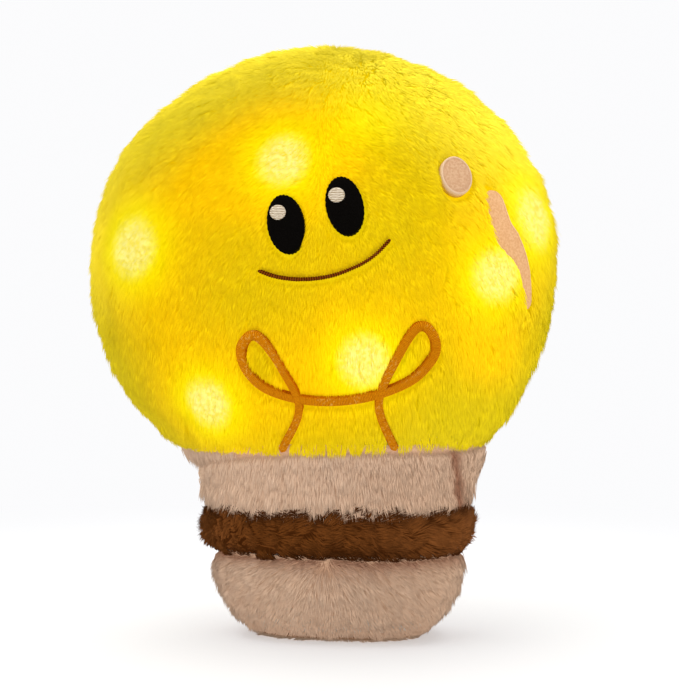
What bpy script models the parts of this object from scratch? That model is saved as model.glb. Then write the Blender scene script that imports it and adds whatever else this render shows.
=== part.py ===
"""Light-up plush toy shaped like a bulb, with an embroidered face and a battery case in a back pocket.

Metres, +Z up. The toy stands on its sole at height zero and faces -Y. The globe is a solid of
revolution about an axis along Y; its cover, stuffing and pocket layers are all the same outline
drawn in by different insets.
"""

import math

import bmesh
import bpy
import numpy as np
from mathutils import Matrix, Vector

# Clearances and mesh settings
GAP = 0.0003
OVERRUN = 0.012
MERGE = 0.00001
SMOOTH_LIMIT = math.radians(35)
PAD_SEGMENTS = 18
PAD_RINGS = 8
BEVEL_SEGMENTS = 2
BEAD_BEVEL_STEPS = 2
CREASE_BEVEL_STEPS = 3
CURVE_SPAN_STEPS = 3

# Globe cover: backing and pile, front panel, side gusset and back panel
GLOBE_RADIUS = 0.126
GLOBE_HALF_DEPTH = 0.082
GLOBE_RISE_SHARE = 0.984
GLOBE_FULLNESS = 2.3
SEAM_SHARE = 0.366
PILE = 0.006
GLOBE_STEPS = 48
PANEL_ROWS = 7
GUSSET_ROWS = 3

# Sole, base cap and thread band: widths are shares of the globe's radius, depths of its half depth
BASE_SHIFT = 0.009
BASE_FULLNESS = 2.6
BASE_STEPS = 36
SOLE_WIDTH_SHARE = 0.349
SOLE_DEPTH_SHARE = 0.300
SOLE_THICKNESS = 0.003
CAP_WIDTH_SHARE = 0.560
CAP_DEPTH_SHARE = 0.616
CAP_HEIGHT = 0.050
CAP_ROUNDING = 0.0245
BAND_HEIGHT = 0.026
BAND_PROUD = 0.006

# Neck cover between band and globe, in the same shares
NECK_WIDTH_SHARE = 0.587
NECK_DEPTH_SHARE = 0.646
NECK_HEIGHT_SHARE = 0.468
NECK_FLARE = 0.012
NECK_FULLNESS = 2.2

# Height share of the cap, and share of its rounding by which the outline is drawn in there
CAP_OUTLINE_SHARES = (
    (0.006, 1.00), (0.035, 0.84), (0.13, 0.50), (0.32, 0.25), (0.60, 0.07), (0.85, 0.00), (1.00, 0.02),
)
# Height share of the band, and share of its proud height
BAND_OUTLINE_SHARES = ((0.00, 0.25), (0.20, 0.80), (0.50, 1.00), (0.80, 0.85), (1.00, 0.40))
# Height share of the neck, and share of its flare
NECK_OUTLINE_SHARES = ((0.00, 0.00), (0.24, 0.22), (0.47, 0.66), (0.71, 1.00), (1.00, 1.05))

# Embroidery and appliques: places are (across, up) shares of the globe's radius
EYE_HALF_WIDTH = 0.0100
EYE_HALF_HEIGHT = 0.0155
EYE_PROUD = 0.0015
EYE_SHARES = (("left", (-0.037, 0.217), 10.0), ("right", (0.206, 0.289), 12.0))
GLINT_RADIUS = 0.0044
GLINT_PROUD = 0.0010
GLINT_SHARES = (("left", (-0.071, 0.266)), ("right", (0.172, 0.337)))
MOUTH_WIDTH = 0.0026
MOUTH_PROUD = 0.0010
MOUTH_SHARES = (
    (-0.151, 0.025), (-0.070, 0.002), (0.010, -0.007), (0.144, 0.008), (0.222, 0.032), (0.325, 0.092),
    (0.394, 0.160),
)
FILAMENT_WIDTH = 0.0050
FILAMENT_PROUD = 0.0014
FILAMENT_SHARES = (
    (-0.080, -0.724), (0.006, -0.542), (-0.063, -0.370), (-0.137, -0.259), (-0.190, -0.238),
    (-0.232, -0.297), (-0.210, -0.385), (-0.130, -0.461), (0.013, -0.504), (0.167, -0.510),
    (0.324, -0.484), (0.470, -0.421), (0.556, -0.333), (0.573, -0.262), (0.536, -0.198),
    (0.484, -0.218), (0.408, -0.345), (0.345, -0.480), (0.341, -0.571), (0.391, -0.732),
)
GLARE_DOT_HALF_LENGTH = 0.0125
GLARE_DOT_HALF_WIDTH = 0.0088
GLARE_DOT_PROUD = 0.0016
GLARE_DOT_SHARE = (0.648, 0.410)
GLARE_DOT_TURN = -22.0
GLARE_STRIPE_SHARES = (
    (0.785, 0.351), (0.827, 0.248), (0.880, 0.137), (0.917, 0.051), (0.932, -0.057), (0.933, -0.157),
)
GLARE_STRIPE_WIDTH = 0.013
GLARE_STRIPE_THICKNESS = 0.0012
CREASE_RADIUS = 0.010
CREASE_DEPTH = 0.004
CREASE_TAPER_SHARES = (0.86, 1.0, 1.0, 1.0, 0.94, 0.80)

# Lights: (across, up) shares of the globe's radius, and the side, 1 for the front and -1 for the back
LED_SHARES = (
    (-0.060, 0.490, 1), (-0.725, 0.126, 1), (-0.399, -0.536, 1), (0.284, -0.342, 1),
    (0.932, 0.244, 1), (0.806, 0.010, 1), (0.520, 0.470, -1), (-0.520, 0.470, -1),
)
LED_RADIUS = 0.0060
LED_HEIGHT = 0.0075
LED_DOME = 0.0030
LED_COVER = 0.0015
LED_STEPS = 12
LED_DOME_STEPS = 3
WIRE_RADIUS = 0.0008
WIRE_STEP = 0.012
WIRE_STUB = 0.007
WIRE_SPANS = 4
# Each run joins two lights by their numbers; number zero is a way out of the battery case
WIRE_RUNS = (("right", 0, 7), ("right", 7, 5), ("right", 5, 6), ("right", 6, 4),
             ("left", 0, 8), ("left", 8, 2), ("left", 2, 1), ("left", 2, 3))

# Back pocket: flap, strips and liner, with the flap's margins round the battery case
POCKET_DROP = 0.004
FLAP_SIDE_MARGIN = 0.007
FLAP_TOP_MARGIN = 0.009
FLAP_FOOT_MARGIN = 0.019
STRIP_THICKNESS = 0.0010
STRIP_HEIGHT = 0.012
STRIP_SIDE_MARGIN = 0.010
LINER_THICKNESS = 0.0012
LINER_MARGIN = 0.004
POUCH_SLACK = 0.0015

# Battery case, its face plates and button
CASE_SINK = 0.0117
CASE_WALL = 0.002
CASE_ROUNDING = 0.0015
PLATE_THICKNESS = 0.002
PLATE_ROUNDING = 0.0005
CELL_RADIUS = 0.00525
CELL_LENGTH = 0.0445
CELL_NUB_RADIUS = 0.0019
CELL_NUB_LENGTH = 0.0009
CELL_RIM = 0.0007
CELL_PITCH = 0.0112
CELL_COUNT = 3
CELL_STEPS = 20
CELL_HEADROOM = 0.0013
BAY_FLOOR_DROP = 0.001
CONTACT_THICKNESS = 0.0004
CONTACT_WIDTH = 0.007
SPRING_ROOM = 0.0055
SPRING_RADIUS = 0.0026
SPRING_WIRE = 0.00035
SPRING_TURNS = 3
SPRING_TURN_STEPS = 10
SPRING_TAPER_SHARE = 0.35
BOSS_WIDTH = 0.008
SCREW_RADIUS = 0.0013
SCREW_HEAD_RADIUS = 0.0026
SCREW_HEAD_HEIGHT = 0.0013
SCREW_REACH = 0.0040
SCREW_SLACK = 0.0005
SCREW_SLOT_WIDTH = 0.0007
SCREW_SLOT_DEPTH = 0.0006
SCREW_SLOT_SHARE = 0.7
SCREW_INSET = 0.004
BARREL_RADIUS = 0.0015
BARREL_RISE = 0.0012
HINGE_PIN_RADIUS = 0.0008
HINGE_PIN_LENGTH = 0.0018
HINGE_LUG_WIDTH = 0.0024
HINGE_FOOT_DEPTH = 0.005
HINGE_TONGUE_INSET = 0.00025
CHAMBER_WIDTH = 0.0213
BUTTON_WIDTH_SHARE = 0.28
BUTTON_PROUD = 0.0018
BUTTON_CROWN = 0.0006
BUTTON_FLANGE = 0.0010
BUTTON_FLANGE_HEIGHT = 0.0012
BUTTON_SHAFT_RADIUS = 0.0016
BUTTON_TRAVEL = 0.0015
BOARD_THICKNESS = 0.0016
BOARD_LIFT = 0.0022
BOARD_POST_RADIUS = 0.0018
SWITCH_SIDE = 0.006
SWITCH_HEIGHT = 0.0030
PLUNGER_RADIUS = 0.0012
PLUNGER_HEIGHT = 0.0008
GRIP_RIB_COUNT = 5
GRIP_RIB_PITCH = 0.0020
GRIP_RIB_WIDTH = 0.0008
GRIP_RIB_PROUD = 0.0005
GRIP_RIB_LENGTH = 0.014
GRIP_RIB_DROP = 0.0135

# Sizes worked out from the ones above
SEAM = SEAM_SHARE * GLOBE_HALF_DEPTH
SOLE_HALF_WIDTH = SOLE_WIDTH_SHARE * GLOBE_RADIUS
SOLE_HALF_DEPTH = SOLE_DEPTH_SHARE * GLOBE_HALF_DEPTH
CAP_HALF_WIDTH = CAP_WIDTH_SHARE * GLOBE_RADIUS
CAP_HALF_DEPTH = CAP_DEPTH_SHARE * GLOBE_HALF_DEPTH
NECK_HALF_WIDTH = NECK_WIDTH_SHARE * GLOBE_RADIUS
NECK_HALF_DEPTH = NECK_DEPTH_SHARE * GLOBE_HALF_DEPTH
NECK_HEIGHT = NECK_HEIGHT_SHARE * GLOBE_RADIUS
BAND_FOOT = CAP_HEIGHT
NECK_FOOT = BAND_FOOT + BAND_HEIGHT
GLOBE_HEIGHT = NECK_FOOT + GLOBE_RISE_SHARE * GLOBE_RADIUS
POCKET_HEIGHT = GLOBE_HEIGHT - POCKET_DROP
LED_DEPTH = PILE + GAP + LED_COVER
WIRE_DEPTH = LED_DEPTH + LED_DOME + (LED_HEIGHT - LED_DOME) / 2
HOOK_INSET = PILE + GAP
LOOP_INSET = HOOK_INSET + STRIP_THICKNESS + GAP
LINER_INSET = LOOP_INSET + STRIP_THICKNESS + GAP
STUFFING_INSET = LINER_INSET + LINER_THICKNESS + GAP
CELL_SLACK = 2 * GAP
BAY_EDGE = CELL_RADIUS + CELL_SLACK + GAP
BAY_WIDTH = CELL_PITCH * (CELL_COUNT - 1) + 2 * BAY_EDGE
CASE_WIDTH = BAY_WIDTH + BOSS_WIDTH + CHAMBER_WIDTH + 3 * CASE_WALL
CASE_HEIGHT = CELL_LENGTH + SPRING_ROOM + 2 * CASE_WALL
CASE_DEPTH = CASE_WALL + 2 * (CELL_RADIUS + CELL_SLACK) + CELL_HEADROOM
CASE_FACE = GLOBE_HALF_DEPTH - CASE_SINK
CASE_RIM = CASE_FACE - PLATE_THICKNESS - GAP
CASE_BACK = CASE_RIM - CASE_DEPTH
CELL_LINE = CASE_BACK + CASE_WALL + CELL_RADIUS + CELL_SLACK
BOARD_LOW = CASE_BACK + CASE_WALL + BOARD_LIFT + GAP
BOARD_TOP = BOARD_LOW + BOARD_THICKNESS
BAY_LEFT = -CASE_WIDTH / 2 + CASE_WALL
BAY_RIGHT = BAY_LEFT + BAY_WIDTH
BAY_HALF_HEIGHT = CASE_HEIGHT / 2 - CASE_WALL
CONTACT_OUTER = BAY_HALF_HEIGHT + CONTACT_THICKNESS / 2
CONTACT_FACE = CONTACT_OUTER - CONTACT_THICKNESS
DOOR_RIGHT = BAY_RIGHT + BOSS_WIDTH
CHAMBER_LEFT = DOOR_RIGHT + CASE_WALL
CHAMBER_RIGHT = CASE_WIDTH / 2 - CASE_WALL
CHAMBER_MIDDLE = (CHAMBER_LEFT + CHAMBER_RIGHT) / 2
BUTTON_RADIUS = BUTTON_WIDTH_SHARE * CHAMBER_WIDTH
FLAP_HALF_WIDTH = CASE_WIDTH / 2 + FLAP_SIDE_MARGIN
FLAP_TOP = CASE_HEIGHT / 2 + FLAP_TOP_MARGIN
FLAP_BOTTOM = CASE_HEIGHT / 2 + FLAP_FOOT_MARGIN
STRIP_HALF_WIDTH = FLAP_HALF_WIDTH - STRIP_SIDE_MARGIN
MOUTH_HALF_WIDTH = CASE_WIDTH / 2 + POUCH_SLACK
MOUTH_TOP = CASE_HEIGHT / 2 + BARREL_RISE + BARREL_RADIUS + POUCH_SLACK
MOUTH_BOTTOM = CASE_HEIGHT / 2 + POUCH_SLACK

FRONT = 1
BACK = -1


def collection(name):
    """New collection in the scene."""
    made = bpy.data.collections.new(name)
    bpy.context.scene.collection.children.link(made)
    return made


def clear_scene():
    """Remove every object that the file opened with."""
    for obj in list(bpy.data.objects):
        bpy.data.objects.remove(obj)


clear_scene()
PARTS = collection("light_up_plush_toy")
CUTTERS = collection("cutters")


def linear(channel):
    """Linear light value of one display channel."""
    if channel <= 0.04045:
        return channel / 12.92
    return ((channel + 0.055) / 1.055) ** 2.4


def material(name, tint, roughness, metallic=0.0):
    """Principled material from a six-digit display colour."""
    made = bpy.data.materials.new(name)
    made.use_nodes = True
    shader = made.node_tree.nodes["Principled BSDF"]
    channels = [linear(int(tint[i:i + 2], 16) / 255) for i in (0, 2, 4)]
    shader.inputs["Base Color"].default_value = (*channels, 1)
    shader.inputs["Roughness"].default_value = roughness
    shader.inputs["Metallic"].default_value = metallic
    made.diffuse_color = (*channels, 1)
    return made


YELLOW_PILE = material("yellow_pile", "EBCD14", 0.95)
TAN_PILE = material("tan_pile", "C8A587", 0.95)
BROWN_PILE = material("brown_pile", "693C14", 0.95)
BLACK_THREAD = material("black_thread", "140C05", 0.55)
PALE_THREAD = material("pale_thread", "D7C8B9", 0.55)
RED_BROWN_THREAD = material("red_brown_thread", "6E2305", 0.60)
ORANGE_THREAD = material("orange_thread", "D77D0A", 0.60)
BEIGE_FELT = material("beige_felt", "E1B48C", 0.90)
STUFFING_FIBRE = material("stuffing_fibre", "F2F1EC", 1.00)
LINER_CLOTH = material("liner_cloth", "E6C31E", 0.90)
STRIP_NYLON = material("strip_nylon", "E8E4D8", 0.80)
CASE_PLASTIC = material("case_plastic", "E9E6DF", 0.45)
BUTTON_PLASTIC = material("button_plastic", "C9372C", 0.40)
STEEL = material("steel", "B9BABC", 0.30, 1.0)
CELL_WRAP = material("cell_wrap", "2E3338", 0.35)
BOARD_GREEN = material("board_green", "1E6B3C", 0.50)
SWITCH_BLACK = material("switch_black", "1C1C1E", 0.45)
LENS_MILK = material("lens_milk", "FFF6C8", 0.25)
WIRE_YELLOW = material("wire_yellow", "E5C832", 0.45)


def finish(obj, paint=None):
    """Give a part its material and round shading, or make a cutter of an unpainted one."""
    if paint:
        obj.data.materials.append(paint)
        PARTS.objects.link(obj)
    else:
        CUTTERS.objects.link(obj)
        obj.hide_render = True
        obj.display_type = "WIRE"
    return obj


def boolean(obj, other, operation, own_crossings=False):
    """Add one Boolean modifier."""
    modifier = obj.modifiers.new(operation.title(), "BOOLEAN")
    modifier.operation = operation
    modifier.object = other
    modifier.use_self = own_crossings
    return obj


def cut(obj, *cutters):
    """Take each cutter's space away."""
    for cutter in cutters:
        boolean(obj, cutter, "DIFFERENCE")
    return obj


def keep(obj, *regions):
    """Keep only what lies inside each region."""
    for region in regions:
        boolean(obj, region, "INTERSECT")
    return obj


def join(obj, *others):
    """Fuse other shapes on."""
    for other in others:
        boolean(obj, other, "UNION")
    return obj


def shade(mesh):
    """Smooth shading with sharp edges kept."""
    mesh.shade_smooth()
    mesh.set_sharp_from_angle(angle=SMOOTH_LIMIT)


def from_bmesh(name, shape, paint=None):
    """Object of a bmesh, which is freed."""
    bmesh.ops.recalc_face_normals(shape, faces=shape.faces)
    mesh = bpy.data.meshes.new(name)
    shape.to_mesh(mesh)
    shape.free()
    shade(mesh)
    return finish(bpy.data.objects.new(name, mesh), paint)


def box(name, low, high, paint=None, rounding=0.0):
    """Box between two corners, with bevelled edges where a rounding is given."""
    low, high = Vector(low), Vector(high)
    shape = bmesh.new()
    bmesh.ops.create_cube(shape, size=1)
    bmesh.ops.scale(shape, vec=high - low, verts=shape.verts)
    obj = from_bmesh(name, shape, paint)
    obj.location = (low + high) / 2
    if rounding:
        bevel = obj.modifiers.new("Bevel", "BEVEL")
        bevel.width = rounding
        bevel.segments = BEVEL_SEGMENTS
    return obj


def turned(name, profile, steps, paint=None, closed=False):
    """Solid turned about local Z from (radius, height) points that run down its outer side."""
    mesh = bpy.data.meshes.new(name)
    count = len(profile)
    edges = [(i, i + 1) for i in range(count - 1)]
    if closed:
        edges.append((count - 1, 0))
    mesh.from_pydata([(radius, 0, height) for radius, height in profile], edges, [])
    obj = finish(bpy.data.objects.new(name, mesh), paint)
    screw = obj.modifiers.new("Screw", "SCREW")
    screw.axis = "Z"
    screw.steps = steps
    screw.render_steps = steps
    screw.use_merge_vertices = True
    screw.merge_threshold = MERGE
    return obj


def cylinder_profile(radius, bottom, top):
    """Profile of a plain cylinder."""
    return [(0, top), (radius, top), (radius, bottom), (0, bottom)]


def face_back(obj, place):
    """Put a turned piece at a place with its local Z pointing out of the toy's back."""
    obj.location = place
    obj.rotation_euler = (-math.pi / 2, 0, 0)
    return obj


def loft(name, sections, paint=None):
    """Closed solid through level sections of (height, half width, half depth, fullness)."""
    shape = bmesh.new()
    turns = np.linspace(0, 2 * math.pi, BASE_STEPS, endpoint=False)
    across, along = np.cos(turns), np.sin(turns)
    rings = []
    for height, half_width, half_depth, fullness in sections:
        reach = (np.abs(across) ** fullness + np.abs(along) ** fullness) ** (-1 / fullness)
        ring = [
            shape.verts.new((BASE_SHIFT + half_width * x, half_depth * y, height))
            for x, y in zip(across * reach, along * reach)
        ]
        rings.append(ring)
    for lower, upper in zip(rings, rings[1:]):
        for i in range(BASE_STEPS):
            j = (i + 1) % BASE_STEPS
            shape.faces.new((lower[i], lower[j], upper[j], upper[i]))
    shape.faces.new(rings[0])
    shape.faces.new(rings[-1])
    return from_bmesh(name, shape, paint)


def tube(name, points, radius, sides_level, paint=None, radii=None):
    """Round tube along points as a curve with filled caps."""
    curve = bpy.data.curves.new(name, "CURVE")
    curve.dimensions = "3D"
    curve.bevel_depth = radius
    curve.bevel_resolution = sides_level
    curve.use_fill_caps = True
    spline = curve.splines.new("POLY")
    spline.points.add(len(points) - 1)
    for i, point in enumerate(points):
        spline.points[i].co = (*point, 1)
        spline.points[i].radius = radii[i] if radii is not None else 1
    return finish(bpy.data.objects.new(name, curve), paint)


def as_mesh(obj, paint=None):
    """The same tube as a closed mesh object, for Booleans."""
    graph = bpy.context.evaluated_depsgraph_get()
    mesh = bpy.data.meshes.new_from_object(obj.evaluated_get(graph))
    name, matrix = obj.name, obj.matrix_world.copy()
    bpy.data.objects.remove(obj)
    shape = bmesh.new()
    shape.from_mesh(mesh)
    bmesh.ops.remove_doubles(shape, verts=shape.verts, dist=MERGE)
    bmesh.ops.recalc_face_normals(shape, faces=shape.faces)
    mesh.clear_geometry()
    shape.to_mesh(mesh)
    shape.free()
    shade(mesh)
    made = bpy.data.objects.new(name, mesh)
    made.matrix_world = matrix
    return finish(made, paint)


def smooth_path(points, span):
    """Points along a Catmull-Rom curve through the given ones, with span steps between two."""
    points = np.array(points, float)
    padded = np.vstack([2 * points[0] - points[1], points, 2 * points[-1] - points[-2]])
    steps = np.linspace(0, 1, span, endpoint=False)[:, None]
    runs = []
    for a, b, c, d in zip(padded, padded[1:], padded[2:], padded[3:]):
        bend = 2 * a - 5 * b + 4 * c - d
        twist = 3 * b - a - 3 * c + d
        runs.append((2 * b + (c - a) * steps + bend * steps**2 + twist * steps**3) / 2)
    return np.vstack([*runs, points[-1:]])


def seam_angle(forward, depth):
    """Parameter of the globe's outline where it crosses a plane at this forward distance."""
    share = min(abs(forward) / depth, 1)
    radius_share = (1 - share**GLOBE_FULLNESS) ** (1 / GLOBE_FULLNESS)
    return math.atan2(radius_share, math.copysign(share, forward))


def globe_outline(inset, start, end, rows):
    """(radius, forward) points of the outline drawn in by inset, between two forward planes."""
    radius, depth = GLOBE_RADIUS - inset, GLOBE_HALF_DEPTH - inset
    angles = np.linspace(seam_angle(start, depth), seam_angle(end, depth), rows + 1)
    out, forward = np.sin(angles), np.cos(angles)
    reach = (np.abs(out) ** GLOBE_FULLNESS + np.abs(forward) ** GLOBE_FULLNESS) ** (-1 / GLOBE_FULLNESS)
    return list(zip((radius * out * reach).tolist(), (depth * forward * reach).tolist()))


def on_globe_axis(obj):
    """Turn a shape so that its local Z points forward through the globe's centre."""
    obj.location = (0, 0, GLOBE_HEIGHT)
    obj.rotation_euler = (math.pi / 2, 0, 0)
    return obj


def globe_solid(name, inset, paint=None):
    """Whole globe drawn in by inset."""
    depth = GLOBE_HALF_DEPTH - inset
    front = globe_outline(inset, depth, SEAM, PANEL_ROWS)
    side = globe_outline(inset, SEAM, -SEAM, GUSSET_ROWS)
    back = globe_outline(inset, -SEAM, -depth, PANEL_ROWS)
    return on_globe_axis(turned(name, front + side[1:] + back[1:], GLOBE_STEPS, paint))


def globe_panel(name, side, paint):
    """Front or back panel of the cover: a dome of even thickness up to its seam."""
    edge = SEAM + GAP / 2
    outer = globe_outline(0, GLOBE_HALF_DEPTH, edge, PANEL_ROWS)
    inner = globe_outline(PILE, GLOBE_HALF_DEPTH - PILE, edge, PANEL_ROWS)
    profile = outer + inner[::-1]
    if side == BACK:
        profile = [(radius, -forward) for radius, forward in profile[::-1]]
    return on_globe_axis(turned(name, profile, GLOBE_STEPS, paint))


def globe_gusset(name, paint):
    """Ring of the cover between the two seams."""
    edge = SEAM - GAP / 2
    outer = globe_outline(0, edge, -edge, GUSSET_ROWS)
    inner = globe_outline(PILE, edge, -edge, GUSSET_ROWS)
    return on_globe_axis(turned(name, outer + inner[::-1], GLOBE_STEPS, paint, closed=True))


def on_skin(across, up, side, lift=0.0):
    """Point over the cover at (across, up) shares of the radius, and the outward normal there."""
    radius_share = math.hypot(across, up)
    forward_share = (1 - radius_share**GLOBE_FULLNESS) ** (1 / GLOBE_FULLNESS)
    slope = radius_share ** (GLOBE_FULLNESS - 1) / GLOBE_RADIUS / max(radius_share, MERGE)
    ahead = forward_share ** (GLOBE_FULLNESS - 1) / GLOBE_HALF_DEPTH
    normal = Vector((slope * across, -side * ahead, slope * up)).normalized()
    place = Vector((across * GLOBE_RADIUS, -side * forward_share * GLOBE_HALF_DEPTH, up * GLOBE_RADIUS))
    return place + Vector((0, 0, GLOBE_HEIGHT)) + normal * lift, normal


def at_inset(points, inset):
    """Points moved along rays from the globe's centre onto the outline drawn in by inset."""
    rays = np.array(points, float) - (0, 0, GLOBE_HEIGHT)
    across = np.hypot(rays[:, 0], rays[:, 2]) / (GLOBE_RADIUS - inset)
    ahead = np.abs(rays[:, 1]) / (GLOBE_HALF_DEPTH - inset)
    reach = (across**GLOBE_FULLNESS + ahead**GLOBE_FULLNESS) ** (-1 / GLOBE_FULLNESS)
    return rays * reach[:, None] + (0, 0, GLOBE_HEIGHT)


def facing(normal, turn=0.0):
    """Rotation whose local Z is the normal and whose local Y is up, turned by degrees about the normal."""
    right = Vector((0, 0, 1)).cross(normal).normalized()
    up = normal.cross(right)
    frame = Matrix((right, up, normal)).transposed()
    return (frame @ Matrix.Rotation(math.radians(turn), 3, "Z")).to_euler()


def pad(name, half_sizes, share, lift, turn, paint=None):
    """Ellipsoid lying on the front of the globe."""
    shape = bmesh.new()
    bmesh.ops.create_uvsphere(shape, u_segments=PAD_SEGMENTS, v_segments=PAD_RINGS, radius=1)
    bmesh.ops.scale(shape, vec=half_sizes, verts=shape.verts)
    obj = from_bmesh(name, shape, paint)
    obj.location, normal = on_skin(*share, FRONT, lift)
    obj.rotation_euler = facing(normal, turn)
    return obj


def pad_half_height(proud):
    """Half height of an ellipsoid sunk by its own proud height."""
    return 2 * proud


def base_fullness(height):
    """Squareness of the level outline at a height: rounder towards the globe."""
    share = min(max((height - NECK_FOOT) / NECK_HEIGHT, 0), 1)
    return BASE_FULLNESS + (NECK_FULLNESS - BASE_FULLNESS) * share


def cap_sections(inset, lowest=0.0):
    """Level sections of the cap drawn in by inset, from a lowest height up."""
    sections = []
    for height_share, drawn_share in CAP_OUTLINE_SHARES:
        height = height_share * CAP_HEIGHT
        drawn = drawn_share * CAP_ROUNDING + inset
        if height >= lowest:
            sections.append((height, CAP_HALF_WIDTH - drawn, CAP_HALF_DEPTH - drawn, BASE_FULLNESS))
    return sections


def band_sections():
    """Level sections of the band's outer side."""
    foot, top = BAND_FOOT + GAP, NECK_FOOT - GAP
    sections = []
    for height_share, proud_share in BAND_OUTLINE_SHARES:
        proud = proud_share * BAND_PROUD
        height = foot + height_share * (top - foot)
        sections.append((height, CAP_HALF_WIDTH + proud, CAP_HALF_DEPTH + proud, BASE_FULLNESS))
    return sections


def neck_sections(inset):
    """Level sections of the neck drawn in by inset."""
    sections = []
    for height_share, flare_share in NECK_OUTLINE_SHARES:
        height = NECK_FOOT + height_share * NECK_HEIGHT
        out = flare_share * NECK_FLARE - inset
        sections.append((height, NECK_HALF_WIDTH + out, NECK_HALF_DEPTH + out, base_fullness(height)))
    return sections


def core_sections(inset, floor):
    """Level sections of the hollow of cap, band and neck, standing on a floor height."""
    sole = (floor, SOLE_HALF_WIDTH, SOLE_HALF_DEPTH, BASE_FULLNESS)
    sections = [sole, *cap_sections(inset, floor + PILE / 2), *neck_sections(inset)]
    top, *outline = sections[-1]
    return [*sections, (top + OVERRUN, *outline)]


def shared_cutters():
    """Cutters that several pieces use, by name."""
    high = NECK_FOOT + NECK_HEIGHT + OVERRUN
    half_gap = GAP / 2
    far = GLOBE_RADIUS + OVERRUN
    foot, *upper = neck_sections(-GAP)
    neck_hole = [(NECK_FOOT - OVERRUN, *foot[1:]), foot, *upper]
    return {
        "over_skin": globe_solid("over_skin", -GAP),
        "under_cover": globe_solid("under_cover", PILE),
        "neck_hole": loft("neck_hole", neck_hole),
        "core": loft("core", core_sections(PILE, SOLE_THICKNESS)),
        "front_side": box("front_side", (-far, -far, 0), (far, -SEAM - half_gap, high)),
        "back_side": box("back_side", (-far, SEAM + half_gap, 0), (far, far, high)),
        "left_side": box("left_side", (-far, half_gap - SEAM, 0), (BASE_SHIFT - OVERRUN, SEAM - half_gap, high)),
        "right_side": box("right_side", (BASE_SHIFT + OVERRUN, half_gap - SEAM, 0), (far, SEAM - half_gap, high)),
    }


def crease_path(lift):
    """Path of the glare stripe over the skin, and its radius shares."""
    shares = smooth_path(GLARE_STRIPE_SHARES, CURVE_SPAN_STEPS)
    points = [on_skin(across, up, FRONT, lift)[0] for across, up in shares]
    tapers = np.interp(
        np.linspace(0, 1, len(points)), np.linspace(0, 1, len(CREASE_TAPER_SHARES)), CREASE_TAPER_SHARES
    )
    return points, tapers


def make_crease():
    """Cutter of the pulled-in crease: a round tube raised so that it dips into the cover."""
    points, tapers = crease_path(CREASE_RADIUS - CREASE_DEPTH)
    return as_mesh(tube("crease", points, CREASE_RADIUS, CREASE_BEVEL_STEPS, radii=tapers))


def make_globe_cover(cutters, crease):
    """Front panel, side gusset and back panel of the globe."""
    front = globe_panel("globe_front_panel", FRONT, YELLOW_PILE)
    cut(front, cutters["neck_hole"], crease)
    gusset = globe_gusset("globe_side_gusset", YELLOW_PILE)
    cut(gusset, cutters["neck_hole"], crease)
    back = globe_panel("globe_back_panel", BACK, YELLOW_PILE)
    cut(back, cutters["neck_hole"], flap_region("flap_opening", GAP / 2))


def make_neck(cutters):
    """Four panels of the neck cover, each a quarter of one flared ring that ends against the globe."""
    regions = {
        "neck_front_panel": "front_side",
        "neck_back_panel": "back_side",
        "neck_gusset_left": "left_side",
        "neck_gusset_right": "right_side",
    }
    for name, region in regions.items():
        panel = loft(name, neck_sections(0), TAN_PILE)
        keep(panel, cutters[region])
        cut(panel, cutters["core"], cutters["under_cover"])


def make_base(cutters):
    """Thread band, cap and sole."""
    cut(loft("thread_band", band_sections(), BROWN_PILE), cutters["core"])
    cap = loft("base_cap", cap_sections(0), TAN_PILE)
    hole = (SOLE_HALF_WIDTH + GAP, SOLE_HALF_DEPTH + GAP, BASE_FULLNESS)
    sole_hole = loft("sole_hole", [(-OVERRUN, *hole), (SOLE_THICKNESS + GAP, *hole)])
    cut(cap, cutters["core"], sole_hole)
    sole = (SOLE_HALF_WIDTH, SOLE_HALF_DEPTH, BASE_FULLNESS)
    loft("base_sole", [(0, *sole), (SOLE_THICKNESS - GAP, *sole)], TAN_PILE)


def make_face(cutters):
    """Satin-stitched eyes with their glints."""
    eye_thick = pad_half_height(EYE_PROUD)
    glint_thick = pad_half_height(GLINT_PROUD)
    for (side, share, turn), (_, glint_share) in zip(EYE_SHARES, GLINT_SHARES):
        sizes = Vector((EYE_HALF_WIDTH, EYE_HALF_HEIGHT, eye_thick))
        eye = pad(f"eye_{side}", sizes, share, EYE_PROUD - eye_thick, turn, BLACK_THREAD)
        cut(eye, cutters["over_skin"])
        clear_sizes = sizes + Vector((GAP, GAP, GAP))
        clear = pad(f"eye_{side}_clearance", clear_sizes, share, EYE_PROUD - eye_thick, turn)
        glint_sizes = Vector((GLINT_RADIUS, GLINT_RADIUS, glint_thick))
        lift = EYE_PROUD + GLINT_PROUD - glint_thick
        glint = pad(f"eye_glint_{side}", glint_sizes, glint_share, lift, 0, PALE_THREAD)
        cut(glint, cutters["over_skin"], clear)


def bead(name, shares, width, proud, cutters, paint):
    """Stitched line: a round tube sunk into the skin until it has this width and height."""
    radius = (width**2 / 4 + proud**2) / (2 * proud)
    path = smooth_path(shares, CURVE_SPAN_STEPS)
    points = [on_skin(across, up, FRONT, proud - radius)[0] for across, up in path]
    line = as_mesh(tube(name, points, radius, BEAD_BEVEL_STEPS, paint), paint)
    boolean(line, cutters["over_skin"], "DIFFERENCE", own_crossings=True)
    return line


def make_lines(cutters):
    """Mouth and filament lines."""
    bead("mouth", MOUTH_SHARES, MOUTH_WIDTH, MOUTH_PROUD, cutters, RED_BROWN_THREAD)
    line = bead("filament", FILAMENT_SHARES, FILAMENT_WIDTH, FILAMENT_PROUD, cutters, ORANGE_THREAD)
    cut(line, cutters["neck_hole"])


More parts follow.
